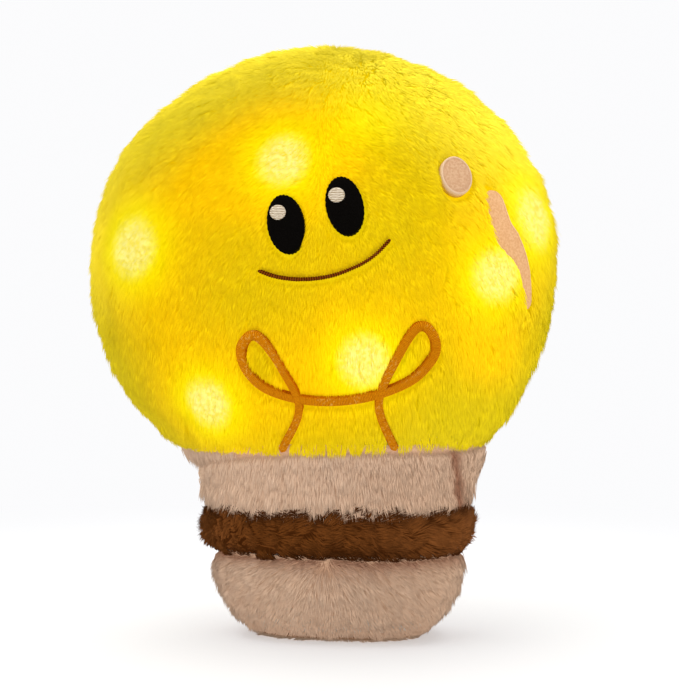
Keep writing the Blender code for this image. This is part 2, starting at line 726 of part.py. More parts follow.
def make_glare(cutters):
    """Glare dot on the skin, and glare stripe lining the crease."""
    thick = pad_half_height(GLARE_DOT_PROUD)
    sizes = Vector((GLARE_DOT_HALF_WIDTH, GLARE_DOT_HALF_LENGTH, thick))
    dot = pad("glare_dot", sizes, GLARE_DOT_SHARE, GLARE_DOT_PROUD - thick, GLARE_DOT_TURN, BEIGE_FELT)
    cut(dot, cutters["over_skin"])
    lift = CREASE_RADIUS - CREASE_DEPTH
    points, tapers = crease_path(lift)
    line = tube("glare_stripe", points, CREASE_RADIUS - GAP, CREASE_BEVEL_STEPS, BEIGE_FELT, tapers)
    stripe = as_mesh(line, BEIGE_FELT)
    longer = [2 * points[0] - points[1], *points, 2 * points[-1] - points[-2]]
    inner_radius = CREASE_RADIUS - GAP - GLARE_STRIPE_THICKNESS
    inner_tapers = [tapers[0], *tapers, tapers[-1]]
    inside = tube("stripe_hollow", longer, inner_radius, CREASE_BEVEL_STEPS, radii=inner_tapers)
    hollow = as_mesh(inside)
    edge_height = math.sqrt(CREASE_RADIUS**2 - GLARE_STRIPE_WIDTH**2 / 4)
    below_edge = globe_solid("stripe_region", edge_height - lift)
    keep(stripe, below_edge)
    cut(stripe, hollow)


def case_box(name, left, right, bottom, top, low_y, high_y, paint=None, rounding=0.0):
    """Box in the pocket's frame: across, and up from the pocket's middle."""
    low = (left, low_y, POCKET_HEIGHT + bottom)
    high = (right, high_y, POCKET_HEIGHT + top)
    return box(name, low, high, paint, rounding)


def pocket_box(name, half_width, bottom, top, low_y, high_y, paint=None):
    """Box in the pocket's frame with the same width to both sides."""
    return case_box(name, -half_width, half_width, bottom, top, low_y, high_y, paint)


def flap_region(name, growth):
    """Block through the back cover with the flap's outline, grown all round."""
    half = FLAP_HALF_WIDTH + growth
    return pocket_box(
        name, half, -FLAP_BOTTOM - growth, FLAP_TOP + growth, CASE_BACK, GLOBE_HALF_DEPTH + OVERRUN
    )


def strip(name, inset):
    """Fastening strip under the flap's lower edge, between two insets of the globe."""
    made = globe_solid(name, inset, STRIP_NYLON)
    middle = -FLAP_BOTTOM + STRIP_HEIGHT / 2 + LINER_THICKNESS
    region = pocket_box(
        f"{name}_region", STRIP_HALF_WIDTH, middle - STRIP_HEIGHT / 2, middle + STRIP_HEIGHT / 2,
        CASE_BACK, GLOBE_HALF_DEPTH + OVERRUN,
    )
    keep(made, region)
    cut(made, globe_solid(f"{name}_back", inset + STRIP_THICKNESS))
    return made


def empty(name, place):
    """Joint axis marker."""
    made = bpy.data.objects.new(name, None)
    PARTS.objects.link(made)
    made.location = place
    return made


def carry(axis, *pieces):
    """Hang pieces on a joint's empty, where they are."""
    for piece in pieces:
        piece.parent = axis
        piece.matrix_parent_inverse = Matrix.Translation(-axis.location)


def make_flap():
    """Pocket flap with its hook strip on a level hinge at the flap's top edge."""
    flap = globe_panel("pocket_flap", BACK, YELLOW_PILE)
    keep(flap, flap_region("flap_outline", -GAP / 2))
    hook = strip("flap_hook_strip", HOOK_INSET)
    hinge_up = POCKET_HEIGHT + FLAP_TOP
    surface = on_skin(0, (hinge_up - GLOBE_HEIGHT) / GLOBE_RADIUS, BACK)[0]
    carry(empty("pocket_flap_axis", (0, surface.y, hinge_up)), flap, hook)


def make_liner(wire_tunnels):
    """Liner sewn round the opening: a shallow tray behind the flap with a pouch for the case."""
    tray_half = FLAP_HALF_WIDTH + LINER_MARGIN
    tray_bottom = -FLAP_BOTTOM - LINER_MARGIN
    tray_top = FLAP_TOP + LINER_MARGIN
    outside = GLOBE_HALF_DEPTH + OVERRUN
    pouch_back = CASE_BACK - POUCH_SLACK - LINER_THICKNESS
    wall = LINER_THICKNESS
    liner = pocket_box(
        "pocket_liner", tray_half, tray_bottom, tray_top, pouch_back - OVERRUN, outside, LINER_CLOTH
    )
    cut(liner, globe_solid("liner_back", LINER_INSET + LINER_THICKNESS))
    pouch = pocket_box(
        "pouch_block", MOUTH_HALF_WIDTH + wall, -MOUTH_BOTTOM - wall, MOUTH_TOP + wall, pouch_back, CASE_RIM
    )
    join(liner, pouch)
    keep(liner, globe_solid("liner_front", HOOK_INSET))
    tray = tray_hollow(tray_half - wall, tray_bottom + wall, tray_top - wall, outside)
    mouth = pocket_box("pouch_mouth", MOUTH_HALF_WIDTH, -MOUTH_BOTTOM, MOUTH_TOP, pouch_back + wall, outside)
    cut(liner, tray, mouth, *wire_tunnels)
    strip("pocket_loop_strip", LOOP_INSET)


def tray_hollow(half_width, bottom, top, outside):
    """Block outside the liner's face, which leaves the tray open towards the flap."""
    block = pocket_box("tray_hollow", half_width, bottom, top, CASE_BACK, outside)
    return cut(block, globe_solid("tray_floor", LINER_INSET))


def pocket_spaces():
    """Cutters that make room for the liner in the stuffing."""
    margin = LINER_MARGIN + GAP
    tray = pocket_box(
        "tray_space", FLAP_HALF_WIDTH + margin, -FLAP_BOTTOM - margin, FLAP_TOP + margin,
        CASE_BACK - OVERRUN, GLOBE_HALF_DEPTH + OVERRUN,
    )
    cut(tray, globe_solid("tray_space_floor", STUFFING_INSET))
    wall = LINER_THICKNESS + GAP
    pouch = pocket_box(
        "pouch_space", MOUTH_HALF_WIDTH + wall, -MOUTH_BOTTOM - wall, MOUTH_TOP + wall,
        CASE_BACK - POUCH_SLACK - wall, GLOBE_HALF_DEPTH + OVERRUN,
    )
    return tray, pouch


def led_places():
    """Top point and outward normal of each light, by its number."""
    places = {}
    for number, (across, up, side) in enumerate(LED_SHARES, 1):
        places[number] = on_skin(across, up, side, -LED_DEPTH)
    return places


def make_leds():
    """Domed lights under the cover, and the pockets that they sit in."""
    body = LED_HEIGHT - LED_DOME
    arc = np.linspace(0, math.pi / 2, LED_DOME_STEPS + 1)
    dome = [(LED_RADIUS * math.sin(a), LED_DOME * (math.cos(a) - 1)) for a in arc]
    profile = [*dome, (LED_RADIUS, -LED_DOME - body), (0, -LED_HEIGHT)]
    room = cylinder_profile(LED_RADIUS + GAP, -LED_HEIGHT - GAP, OVERRUN)
    pockets = []
    for number, (place, normal) in led_places().items():
        led = turned(f"led_{number}", profile, LED_STEPS, LENS_MILK)
        pocket = turned(f"led_{number}_pocket", room, LED_STEPS)
        for piece in (led, pocket):
            piece.location = place
            piece.rotation_euler = facing(normal)
        pockets.append(pocket)
    return pockets


def wire_end(number, towards):
    """Point beside a light's rim from which a wire runs towards another point."""
    place, normal = led_places()[number]
    middle = place - normal * (WIRE_DEPTH - LED_DEPTH)
    aim = Vector(towards) - middle
    aim -= normal * aim.dot(normal)
    return middle + aim.normalized() * (LED_RADIUS + GAP)


def case_exit(side):
    """Two points of a wire that leaves the battery case, through its right side or its top."""
    depth = CASE_BACK + CASE_DEPTH / 2
    if side == "right":
        start = Vector((CASE_WIDTH / 2 + GAP, depth, POCKET_HEIGHT))
        return start, start + Vector((WIRE_STUB, 0, 0))
    start = Vector((CHAMBER_MIDDLE, depth, POCKET_HEIGHT + CASE_HEIGHT / 2 + GAP))
    return start, start + Vector((0, 0, WIRE_STUB))


def wire_route(side, first, last):
    """Points of one wire at an even depth under the cover, between its two ends."""
    places = led_places()
    if first == 0:
        start, straight = case_exit(side)
        end = wire_end(last, straight)
        straight_on = straight + (straight - start)
        through = at_inset([(straight_on + end) / 2], WIRE_DEPTH)[0]
        through = (Vector(through) + (straight_on + end) / 2) / 2
        route = [start, (start + straight) / 2, straight, through, end]
    else:
        start = wire_end(first, places[last][0])
        end = wire_end(last, places[first][0])
        shares = np.linspace(0, 1, WIRE_SPANS + 1)[1:-1, None]
        between = at_inset(np.array(start) + shares * np.array(end - start), WIRE_DEPTH)
        route = [start, *between, end]
    length = sum((Vector(b) - Vector(a)).length for a, b in zip(route, route[1:]))
    span = max(2, math.ceil(length / (len(route) - 1) / WIRE_STEP))
    return smooth_path([tuple(point) for point in route], span)


def lengthened(points):
    """A route carried on past both ends by a little more than the gap there."""
    first, last = points[0], points[-1]
    ahead = (last - points[-2]) / np.linalg.norm(last - points[-2])
    behind = (first - points[1]) / np.linalg.norm(first - points[1])
    return np.vstack([first + behind * 2 * GAP, points, last + ahead * 2 * GAP])


def make_wires():
    """Lead wires from the case to the lights, and the tunnels that they lie in."""
    tunnels = []
    for side, first, last in WIRE_RUNS:
        route = wire_route(side, first, last)
        name = f"wire_{first}_{last}" if first else f"wire_case_{last}"
        tube(name, route, WIRE_RADIUS, 1, WIRE_YELLOW)
        tunnels.append(as_mesh(tube(f"{name}_tunnel", lengthened(route), WIRE_RADIUS + 2 * GAP, 1)))
    return tunnels


def make_stuffing(cutters, led_pockets, tunnels):
    """Fibre filling of the globe and of the base."""
    globe = globe_solid("globe_stuffing", PILE + GAP, STUFFING_FIBRE)
    cut(globe, *pocket_spaces(), *led_pockets, *tunnels)
    base = loft("base_stuffing", core_sections(PILE + GAP, SOLE_THICKNESS + GAP), STUFFING_FIBRE)
    cut(base, cutters["under_cover"])


def cell_centres():
    """Across place of each cell's axis."""
    first = BAY_LEFT + BAY_EDGE
    return [first + i * CELL_PITCH for i in range(CELL_COUNT)]


def screw_place():
    """Across and up place of the door's screw."""
    return BAY_RIGHT + BOSS_WIDTH / 2, -CASE_HEIGHT / 2 + SCREW_INSET


def make_case():
    """Moulded case: a tub with a cell bay, a board chamber, a screw hole and two hinge lugs."""
    half_height = CASE_HEIGHT / 2
    case = case_box(
        "battery_case", -CASE_WIDTH / 2, CASE_WIDTH / 2, -half_height, half_height,
        CASE_BACK, CASE_RIM, CASE_PLASTIC, CASE_ROUNDING,
    )
    bay = case_box(
        "cell_bay", BAY_LEFT, BAY_RIGHT, -BAY_HALF_HEIGHT, BAY_HALF_HEIGHT, CELL_LINE - BAY_FLOOR_DROP,
        CASE_RIM + OVERRUN,
    )
    cradle = cylinder_profile(CELL_RADIUS + CELL_SLACK, GAP - BAY_HALF_HEIGHT, BAY_HALF_HEIGHT - GAP)
    cradles = []
    for i, across in enumerate(cell_centres(), 1):
        hollow = turned(f"cell_cradle_{i}", cradle, CELL_STEPS)
        hollow.location = (across, CELL_LINE, POCKET_HEIGHT)
        cradles.append(hollow)
    chamber = case_box(
        "board_chamber", CHAMBER_LEFT, CHAMBER_RIGHT, -BAY_HALF_HEIGHT, BAY_HALF_HEIGHT,
        CASE_BACK + CASE_WALL, CASE_RIM + OVERRUN,
    )
    across, up = screw_place()
    hole_profile = cylinder_profile(SCREW_RADIUS + SCREW_SLACK, -SCREW_REACH - SCREW_SLACK - GAP, OVERRUN)
    hole = face_back(turned("screw_hole", hole_profile, LED_STEPS), (across, CASE_RIM, POCKET_HEIGHT + up))
    cut(case, bay, *cradles, *contact_slots(), chamber, hole)
    join(case, *board_posts(), *hinge_lugs())


def contact_span():
    """Left and right ends of a contact plate that crosses every cell."""
    centres = cell_centres()
    return centres[0] - CONTACT_WIDTH / 2, centres[-1] + CONTACT_WIDTH / 2


def contact_slots():
    """Slots at both ends of the bay that hold the contact plates."""
    left, right = contact_span()
    half = CONTACT_WIDTH / 2 + GAP
    slots = []
    for name, way in (("top", 1), ("bottom", -1)):
        low, high = sorted((way * (CONTACT_OUTER + GAP), way * (CONTACT_FACE - GAP)))
        slots.append(case_box(
            f"contact_slot_{name}", left - GAP, right + GAP, low, high, CELL_LINE - half, CELL_LINE + half
        ))
    return slots


def board_posts():
    """Posts on the chamber's floor that the board stands on."""
    posts = []
    floor = CASE_BACK + CASE_WALL
    reach = CHAMBER_RIGHT - CHAMBER_MIDDLE - 2 * BOARD_POST_RADIUS
    for i, (side, end) in enumerate(((-1, -1), (1, -1), (-1, 1), (1, 1)), 1):
        profile = cylinder_profile(BOARD_POST_RADIUS, -CASE_WALL / 2, BOARD_LIFT)
        post = turned(f"board_post_{i}", profile, LED_STEPS)
        up = end * (BAY_HALF_HEIGHT - 2 * BOARD_POST_RADIUS)
        posts.append(face_back(post, (CHAMBER_MIDDLE + side * reach, floor, POCKET_HEIGHT + up)))
    return posts


def door_axis_place():
    """Centre of the door's hinge barrel."""
    middle = (-CASE_WIDTH / 2 + DOOR_RIGHT) / 2
    return Vector((middle, CASE_RIM + GAP + BARREL_RADIUS, POCKET_HEIGHT + CASE_HEIGHT / 2 + BARREL_RISE))


def door_hinge_span():
    """Half length of the barrel between the two lugs, which stand clear of the case's rounded edges."""
    return (DOOR_RIGHT + CASE_WIDTH / 2) / 2 - CASE_ROUNDING - HINGE_LUG_WIDTH - 2 * GAP


def along_x(obj, place):
    """Put a turned piece at a place with its local Z along X."""
    obj.location = place
    obj.rotation_euler = (0, math.pi / 2, 0)
    return obj


def hinge_lugs():
    """Two round-headed lugs on the case's top edge with holes for the door's pins."""
    place = door_axis_place()
    inner = door_hinge_span() + GAP
    case_top = place.z - BARREL_RISE
    lugs = []
    for i, side in enumerate((-1, 1), 1):
        left, right = sorted((place.x + side * inner, place.x + side * (inner + HINGE_LUG_WIDTH)))
        middle = ((left + right) / 2, place.y, place.z)
        foot_low = (left, CASE_RIM - HINGE_FOOT_DEPTH, case_top - CASE_WALL / 2)
        lug = box(f"hinge_lug_{i}", foot_low, (right, place.y, place.z + BARREL_RADIUS / 2))
        half = HINGE_LUG_WIDTH / 2
        head = turned(f"hinge_lug_head_{i}", cylinder_profile(BARREL_RADIUS, -half, half), LED_STEPS)
        join(lug, along_x(head, middle))
        door_low = (left - OVERRUN, CASE_RIM - GAP, case_top - OVERRUN)
        door_room = box(f"hinge_lug_room_{i}", door_low, (right + OVERRUN, place.y + OVERRUN, case_top))
        profile = cylinder_profile(HINGE_PIN_RADIUS + GAP, -OVERRUN, OVERRUN)
        cut(lug, door_room, along_x(turned(f"hinge_lug_hole_{i}", profile, LED_STEPS), middle))
        lugs.append(lug)
    return lugs


def grip_ribs():
    """Raised bars low on the door that a thumb pulls at."""
    middle = (BAY_LEFT + BAY_RIGHT) / 2
    half_length, half_width = GRIP_RIB_LENGTH / 2, GRIP_RIB_WIDTH / 2
    ribs = []
    for i in range(GRIP_RIB_COUNT):
        up = (i - (GRIP_RIB_COUNT - 1) / 2) * GRIP_RIB_PITCH - GRIP_RIB_DROP
        ribs.append(case_box(
            f"grip_rib_{i + 1}", middle - half_length, middle + half_length, up - half_width, up + half_width,
            CASE_FACE - PLATE_THICKNESS / 2, CASE_FACE + GRIP_RIB_PROUD,
        ))
    return ribs


def door_barrel():
    """Tongue, barrel and two pins of the door's hinge."""
    place = door_axis_place()
    half = door_hinge_span()
    top = CASE_HEIGHT / 2
    tongue = case_box(
        "door_tongue", place.x - half, place.x + half, top - PLATE_THICKNESS, top + BARREL_RISE - GAP,
        CASE_RIM + GAP + HINGE_TONGUE_INSET, CASE_FACE - HINGE_TONGUE_INSET,
    )
    barrel = turned("door_barrel", cylinder_profile(BARREL_RADIUS, -half, half), LED_STEPS)
    reach = half + GAP + HINGE_PIN_LENGTH
    pins = turned("door_pins", cylinder_profile(HINGE_PIN_RADIUS, -reach, reach), LED_STEPS)
    return tongue, along_x(barrel, place), along_x(pins, place)


def make_door():
    """Battery door: plate with a hinge barrel, grip ribs and a seat for its captive screw."""
    half_height = CASE_HEIGHT / 2
    door = case_box(
        "battery_door", GAP - CASE_WIDTH / 2, DOOR_RIGHT - GAP / 2, -half_height, half_height - 2 * GAP,
        CASE_RIM + GAP, CASE_FACE, CASE_PLASTIC, PLATE_ROUNDING,
    )
    join(door, *door_barrel(), *grip_ribs())
    across, up = screw_place()
    screw_at = Vector((across, CASE_FACE, POCKET_HEIGHT + up))
    seat_radius, seat_floor = SCREW_HEAD_RADIUS + GAP, -SCREW_HEAD_HEIGHT - GAP
    hole_radius = SCREW_RADIUS + GAP
    seat = [
        (0, OVERRUN), (seat_radius, OVERRUN), (seat_radius, seat_floor), (hole_radius, seat_floor),
        (hole_radius, -OVERRUN), (0, -OVERRUN),
    ]
    cut(door, face_back(turned("screw_seat", seat, LED_STEPS), screw_at))
    carry(empty("battery_door_axis", door_axis_place()), door, make_screw(screw_at))


def make_screw(place):
    """Cross-slotted screw with its head's face at the place."""
    shank = -PLATE_THICKNESS - SCREW_REACH
    profile = [
        (0, 0), (SCREW_HEAD_RADIUS, 0), (SCREW_HEAD_RADIUS, -SCREW_HEAD_HEIGHT),
        (SCREW_RADIUS, -SCREW_HEAD_HEIGHT), (SCREW_RADIUS, shank), (0, shank),
    ]
    screw = face_back(turned("door_screw", profile, LED_STEPS, STEEL), place)
    long, narrow = SCREW_HEAD_RADIUS * SCREW_SLOT_SHARE, SCREW_SLOT_WIDTH / 2
    for i, (across, up) in enumerate(((long, narrow), (narrow, long)), 1):
        low = place + Vector((-across, -SCREW_SLOT_DEPTH, -up))
        high = place + Vector((across, OVERRUN, up))
        cut(screw, box(f"screw_slot_{i}", low, high))
    return screw


def make_button():
    """Fixed plate beside the door, and the push button in its hole."""
    half_height = CASE_HEIGHT / 2
    plate = case_box(
        "switch_plate", DOOR_RIGHT + GAP / 2, CASE_WIDTH / 2 - GAP, -half_height, half_height,
        CASE_RIM + GAP, CASE_FACE, CASE_PLASTIC, PLATE_ROUNDING,
    )
    centre = Vector((CHAMBER_MIDDLE, CASE_FACE, POCKET_HEIGHT))
    hole = turned("button_hole", cylinder_profile(BUTTON_RADIUS + GAP, -OVERRUN, OVERRUN), CELL_STEPS)
    cut(plate, face_back(hole, centre))
    flange_top = -PLATE_THICKNESS - GAP
    flange_foot = flange_top - BUTTON_FLANGE_HEIGHT
    flange_radius = BUTTON_RADIUS + BUTTON_FLANGE
    switch_top = BOARD_TOP + GAP + SWITCH_HEIGHT + PLUNGER_HEIGHT
    shaft_foot = switch_top + BUTTON_TRAVEL + GAP - CASE_FACE
    profile = [
        (0, BUTTON_PROUD), (BUTTON_RADIUS - BUTTON_CROWN, BUTTON_PROUD),
        (BUTTON_RADIUS, BUTTON_PROUD - BUTTON_CROWN), (BUTTON_RADIUS, flange_top), (flange_radius, flange_top),
        (flange_radius, flange_foot), (BUTTON_SHAFT_RADIUS, flange_foot), (BUTTON_SHAFT_RADIUS, shaft_foot),
        (0, shaft_foot),
    ]
    face_back(turned("power_button", profile, CELL_STEPS, BUTTON_PLASTIC), centre)


def make_board():
    """Circuit board on its posts, with the switch that the button presses."""
    edge = 2 * GAP
    case_box(
        "circuit_board", CHAMBER_LEFT + edge, CHAMBER_RIGHT - edge, -BAY_HALF_HEIGHT + edge,
        BAY_HALF_HEIGHT - edge, BOARD_LOW, BOARD_TOP, BOARD_GREEN,
    )
    half = SWITCH_SIDE / 2
    low, high = BOARD_TOP + GAP, BOARD_TOP + GAP + SWITCH_HEIGHT
    switch = case_box(
        "switch_body", CHAMBER_MIDDLE - half, CHAMBER_MIDDLE + half, -half, half, low, high, SWITCH_BLACK
    )
    profile = cylinder_profile(PLUNGER_RADIUS, -SWITCH_HEIGHT / 2, PLUNGER_HEIGHT)
    plunger = face_back(turned("switch_plunger", profile, LED_STEPS), (CHAMBER_MIDDLE, high, POCKET_HEIGHT))
    join(switch, plunger)


def make_cells():
    """Three cells side by side, the middle one the other way up, each against a coil spring."""
    body_top = CELL_LENGTH / 2 - CELL_NUB_LENGTH
    foot = -CELL_LENGTH / 2
    profile = [
        (0, CELL_LENGTH / 2), (CELL_NUB_RADIUS, CELL_LENGTH / 2), (CELL_NUB_RADIUS, body_top),
        (CELL_RADIUS - CELL_RIM, body_top), (CELL_RADIUS, body_top - CELL_RIM),
        (CELL_RADIUS, foot + CELL_RIM), (CELL_RADIUS - CELL_RIM, foot), (0, foot),
    ]
    rise = CONTACT_FACE - GAP - CELL_LENGTH / 2
    for i, across in enumerate(cell_centres(), 1):
        way = 1 if i % 2 else -1
        cell = turned(f"battery_cell_{i}", profile, CELL_STEPS, CELL_WRAP)
        cell.location = (across, CELL_LINE, POCKET_HEIGHT + way * rise)
        cell.rotation_euler = (0, 0 if way == 1 else math.pi, 0)
        spring_end = -way * (CELL_LENGTH / 2 - rise + GAP)
        make_spring(i, across, -way * CONTACT_FACE, spring_end)


def make_spring(number, across, plate_up, cell_up):
    """Coil spring between a contact plate and a cell's flat end, wound as one wire."""
    way = math.copysign(1, cell_up - plate_up)
    start = plate_up + way * (GAP + SPRING_WIRE)
    length = abs(cell_up - plate_up) - 2 * (GAP + SPRING_WIRE)
    turns = np.linspace(0, SPRING_TURNS * 2 * math.pi, SPRING_TURNS * SPRING_TURN_STEPS + 1)
    share = turns / turns[-1]
    radius = SPRING_RADIUS * (1 - SPRING_TAPER_SHARE * share)
    points = np.stack([
        across + radius * np.cos(turns), CELL_LINE + radius * np.sin(turns),
        POCKET_HEIGHT + start + way * length * share,
    ], axis=1)
    tube(f"battery_spring_{number}", points, SPRING_WIRE, 0, STEEL)


def make_contacts():
    """Contact plates at both ends of the bay."""
    left, right = contact_span()
    half = CONTACT_WIDTH / 2
    for name, way in (("contact_plate_top", 1), ("contact_plate_bottom", -1)):
        low, high = sorted((way * CONTACT_OUTER, way * CONTACT_FACE))
        case_box(name, left, right, low, high, CELL_LINE - half, CELL_LINE + half, STEEL)


def build():
    """Make every piece of the toy."""
    cutters = shared_cutters()
    crease = make_crease()
    tunnels = make_wires()
    led_pockets = make_leds()
    make_globe_cover(cutters, crease)
    make_neck(cutters)
    make_base(cutters)
    make_face(cutters)
    make_lines(cutters)
    make_glare(cutters)
    make_flap()
    make_liner(tunnels)
    make_stuffing(cutters, led_pockets, tunnels)
    make_case()
    make_door()
    make_button()
    make_board()
    make_cells()
    make_contacts()


build()
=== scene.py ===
"""Light-up plush toy shaped like a bulb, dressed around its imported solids.

Metres, +Z up, front towards -Y. The pile is real strands on closed backing shells.
"""

import math

import bmesh
import bpy
import numpy as np
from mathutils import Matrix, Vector


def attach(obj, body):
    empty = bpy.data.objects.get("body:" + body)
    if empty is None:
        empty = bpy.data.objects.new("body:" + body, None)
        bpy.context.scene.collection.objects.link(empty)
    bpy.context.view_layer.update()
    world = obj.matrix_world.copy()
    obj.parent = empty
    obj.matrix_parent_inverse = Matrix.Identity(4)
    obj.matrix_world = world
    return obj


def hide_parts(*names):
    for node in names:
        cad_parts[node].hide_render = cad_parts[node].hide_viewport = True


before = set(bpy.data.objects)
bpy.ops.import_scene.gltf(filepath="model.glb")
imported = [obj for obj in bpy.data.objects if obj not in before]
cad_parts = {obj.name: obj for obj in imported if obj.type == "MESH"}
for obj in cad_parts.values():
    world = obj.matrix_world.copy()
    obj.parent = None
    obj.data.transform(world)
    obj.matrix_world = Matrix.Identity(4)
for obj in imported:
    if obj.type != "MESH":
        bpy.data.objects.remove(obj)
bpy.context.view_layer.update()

# Sizes that the solids also have
GLOBE_RADIUS = 0.126
GLOBE_DEPTH = 0.082
GLOBE_MIDDLE = 0.199984
GLOBE_FULLNESS = 2.3
SEAM = 0.030012
BASE_SHIFT = 0.009
BASE_FULLNESS = 2.6
CAP_HALF_WIDTH = 0.07056
CAP_HALF_DEPTH = 0.050512
CAP_HEIGHT = 0.050
CAP_ROUNDING = 0.0245
BAND_HEIGHT = 0.026
BAND_PROUD = 0.006
NECK_HALF_WIDTH = 0.073962
NECK_HALF_DEPTH = 0.052972
NECK_FOOT = 0.076
NECK_HEIGHT = 0.058968
NECK_FLARE = 0.012
NECK_FULLNESS = 2.2
SOLE_HALF_WIDTH = 0.043974
SOLE_HALF_DEPTH = 0.0246
POCKET_MIDDLE = 0.195984
FLAP_HALF_WIDTH = 0.042
FLAP_RISE = 0.036
FLAP_DROP = 0.046
CENTRE = np.array([0.0, 0.0, GLOBE_MIDDLE])
CAP_OUTLINE = ((0.006, 1.0), (0.035, 0.84), (0.13, 0.5), (0.32, 0.25), (0.60, 0.07), (0.85, 0.0), (1.0, 0.02))
BAND_OUTLINE = ((0.0, 0.25), (0.2, 0.8), (0.5, 1.0), (0.8, 0.85), (1.0, 0.4))
NECK_OUTLINE = ((0.0, 0.0), (0.24, 0.22), (0.47, 0.66), (0.71, 1.0), (1.0, 1.05))

# How far the cap's foot is drawn in past the solid's, and up to which height
LOW_INSET = 0.0045
LOW_HEIGHT = 0.034

# Lights as (across, up) shares of the globe's radius and the side, 1 front and -1 back
LIGHTS = (
    (-0.060, 0.490, 1), (-0.725, 0.126, 1), (-0.399, -0.536, 1), (0.284, -0.342, 1),
    (0.932, 0.244, 1), (0.806, 0.010, 1), (0.520, 0.470, -1), (-0.520, 0.470, -1),
)
LIGHT_SIZES = (1.0, 1.18, 0.98, 1.0, 1.2, 1.0, 1.0, 1.0)
EYES = (("left", (-0.037, 0.224), 10.0, (-0.068, 0.272)), ("right", (0.206, 0.299), 12.0, (0.173, 0.342)))
EYE_HALF_WIDTH = 0.0097
EYE_HALF_HEIGHT = 0.0155
GLINT_HALF_WIDTH = 0.0043
GLINT_HALF_HEIGHT = 0.0039
MOUTH = (
    (-0.151, 0.033), (-0.091, 0.012), (-0.038, 0.002), (0.014, -0.002), (0.085, 0.001), (0.155, 0.013),
    (0.222, 0.036), (0.290, 0.068), (0.341, 0.106), (0.393, 0.162),
)
MOUTH_WIDTH = 0.0017
FILAMENT = (
    (-0.086, -0.730), (0.006, -0.542), (-0.063, -0.370), (-0.137, -0.259), (-0.190, -0.238),
    (-0.232, -0.297), (-0.210, -0.385), (-0.130, -0.461), (0.013, -0.504), (0.167, -0.510),
    (0.324, -0.484), (0.470, -0.421), (0.556, -0.333), (0.573, -0.262), (0.536, -0.198),
    (0.484, -0.218), (0.408, -0.345), (0.345, -0.480), (0.341, -0.571), (0.388, -0.718),
)
FILAMENT_WIDTHS = (
    0.0042, 0.0040, 0.0036, 0.0048, 0.0053, 0.0052, 0.0046, 0.0043, 0.0043, 0.0043,
    0.0043, 0.0045, 0.0048, 0.0048, 0.0052, 0.0048, 0.0044, 0.0040, 0.0042, 0.0042,
)
DOT = (0.638, 0.418)
DOT_HALF_WIDTH = 0.0082
DOT_HALF_LENGTH = 0.0104
DOT_TURN = 8.0
STRIPE = (
    (0.765, 0.358), (0.785, 0.312), (0.803, 0.250), (0.819, 0.200), (0.851, 0.150), (0.881, 0.101),
    (0.906, 0.037), (0.915, -0.013), (0.920, -0.065), (0.926, -0.130),
)
STRIPE_WIDTHS = (0.0090, 0.0118, 0.0132, 0.0143, 0.0141, 0.0112, 0.0093, 0.0093, 0.0088, 0.0060)
STRIPE_SUNK = 0.0012


def linear(channel):
    """Linear light of one display channel, from 0 to 255."""
    share = channel / 255
    return share / 12.92 if share <= 0.04045 else ((share + 0.055) / 1.055) ** 2.4


def tint(red, green, blue):
    """Linear colour with full alpha of three display channels."""
    return (linear(red), linear(green), linear(blue), 1.0)


class Term:
    """A node's output in an expression: operators add Math nodes to the same tree."""

    def __init__(self, finish, socket):
        self.finish = finish
        self.socket = socket

    def __add__(self, other):
        return self.finish.math("ADD", self, other)

    def __sub__(self, other):
        return self.finish.math("SUBTRACT", self, other)

    def __rsub__(self, other):
        return self.finish.math("SUBTRACT", other, self)

    def __mul__(self, other):
        return self.finish.math("MULTIPLY", self, other)

    def __pow__(self, other):
        return self.finish.math("POWER", self, other)

    __radd__ = __add__
    __rmul__ = __mul__

    def clamped(self):
        """The value held between 0 and 1."""
        return self.finish.node("ShaderNodeClamp", {}, {"Value": self}, "Result")

    def sine(self):
        """Sine of the value."""
        return self.finish.math("SINE", self)


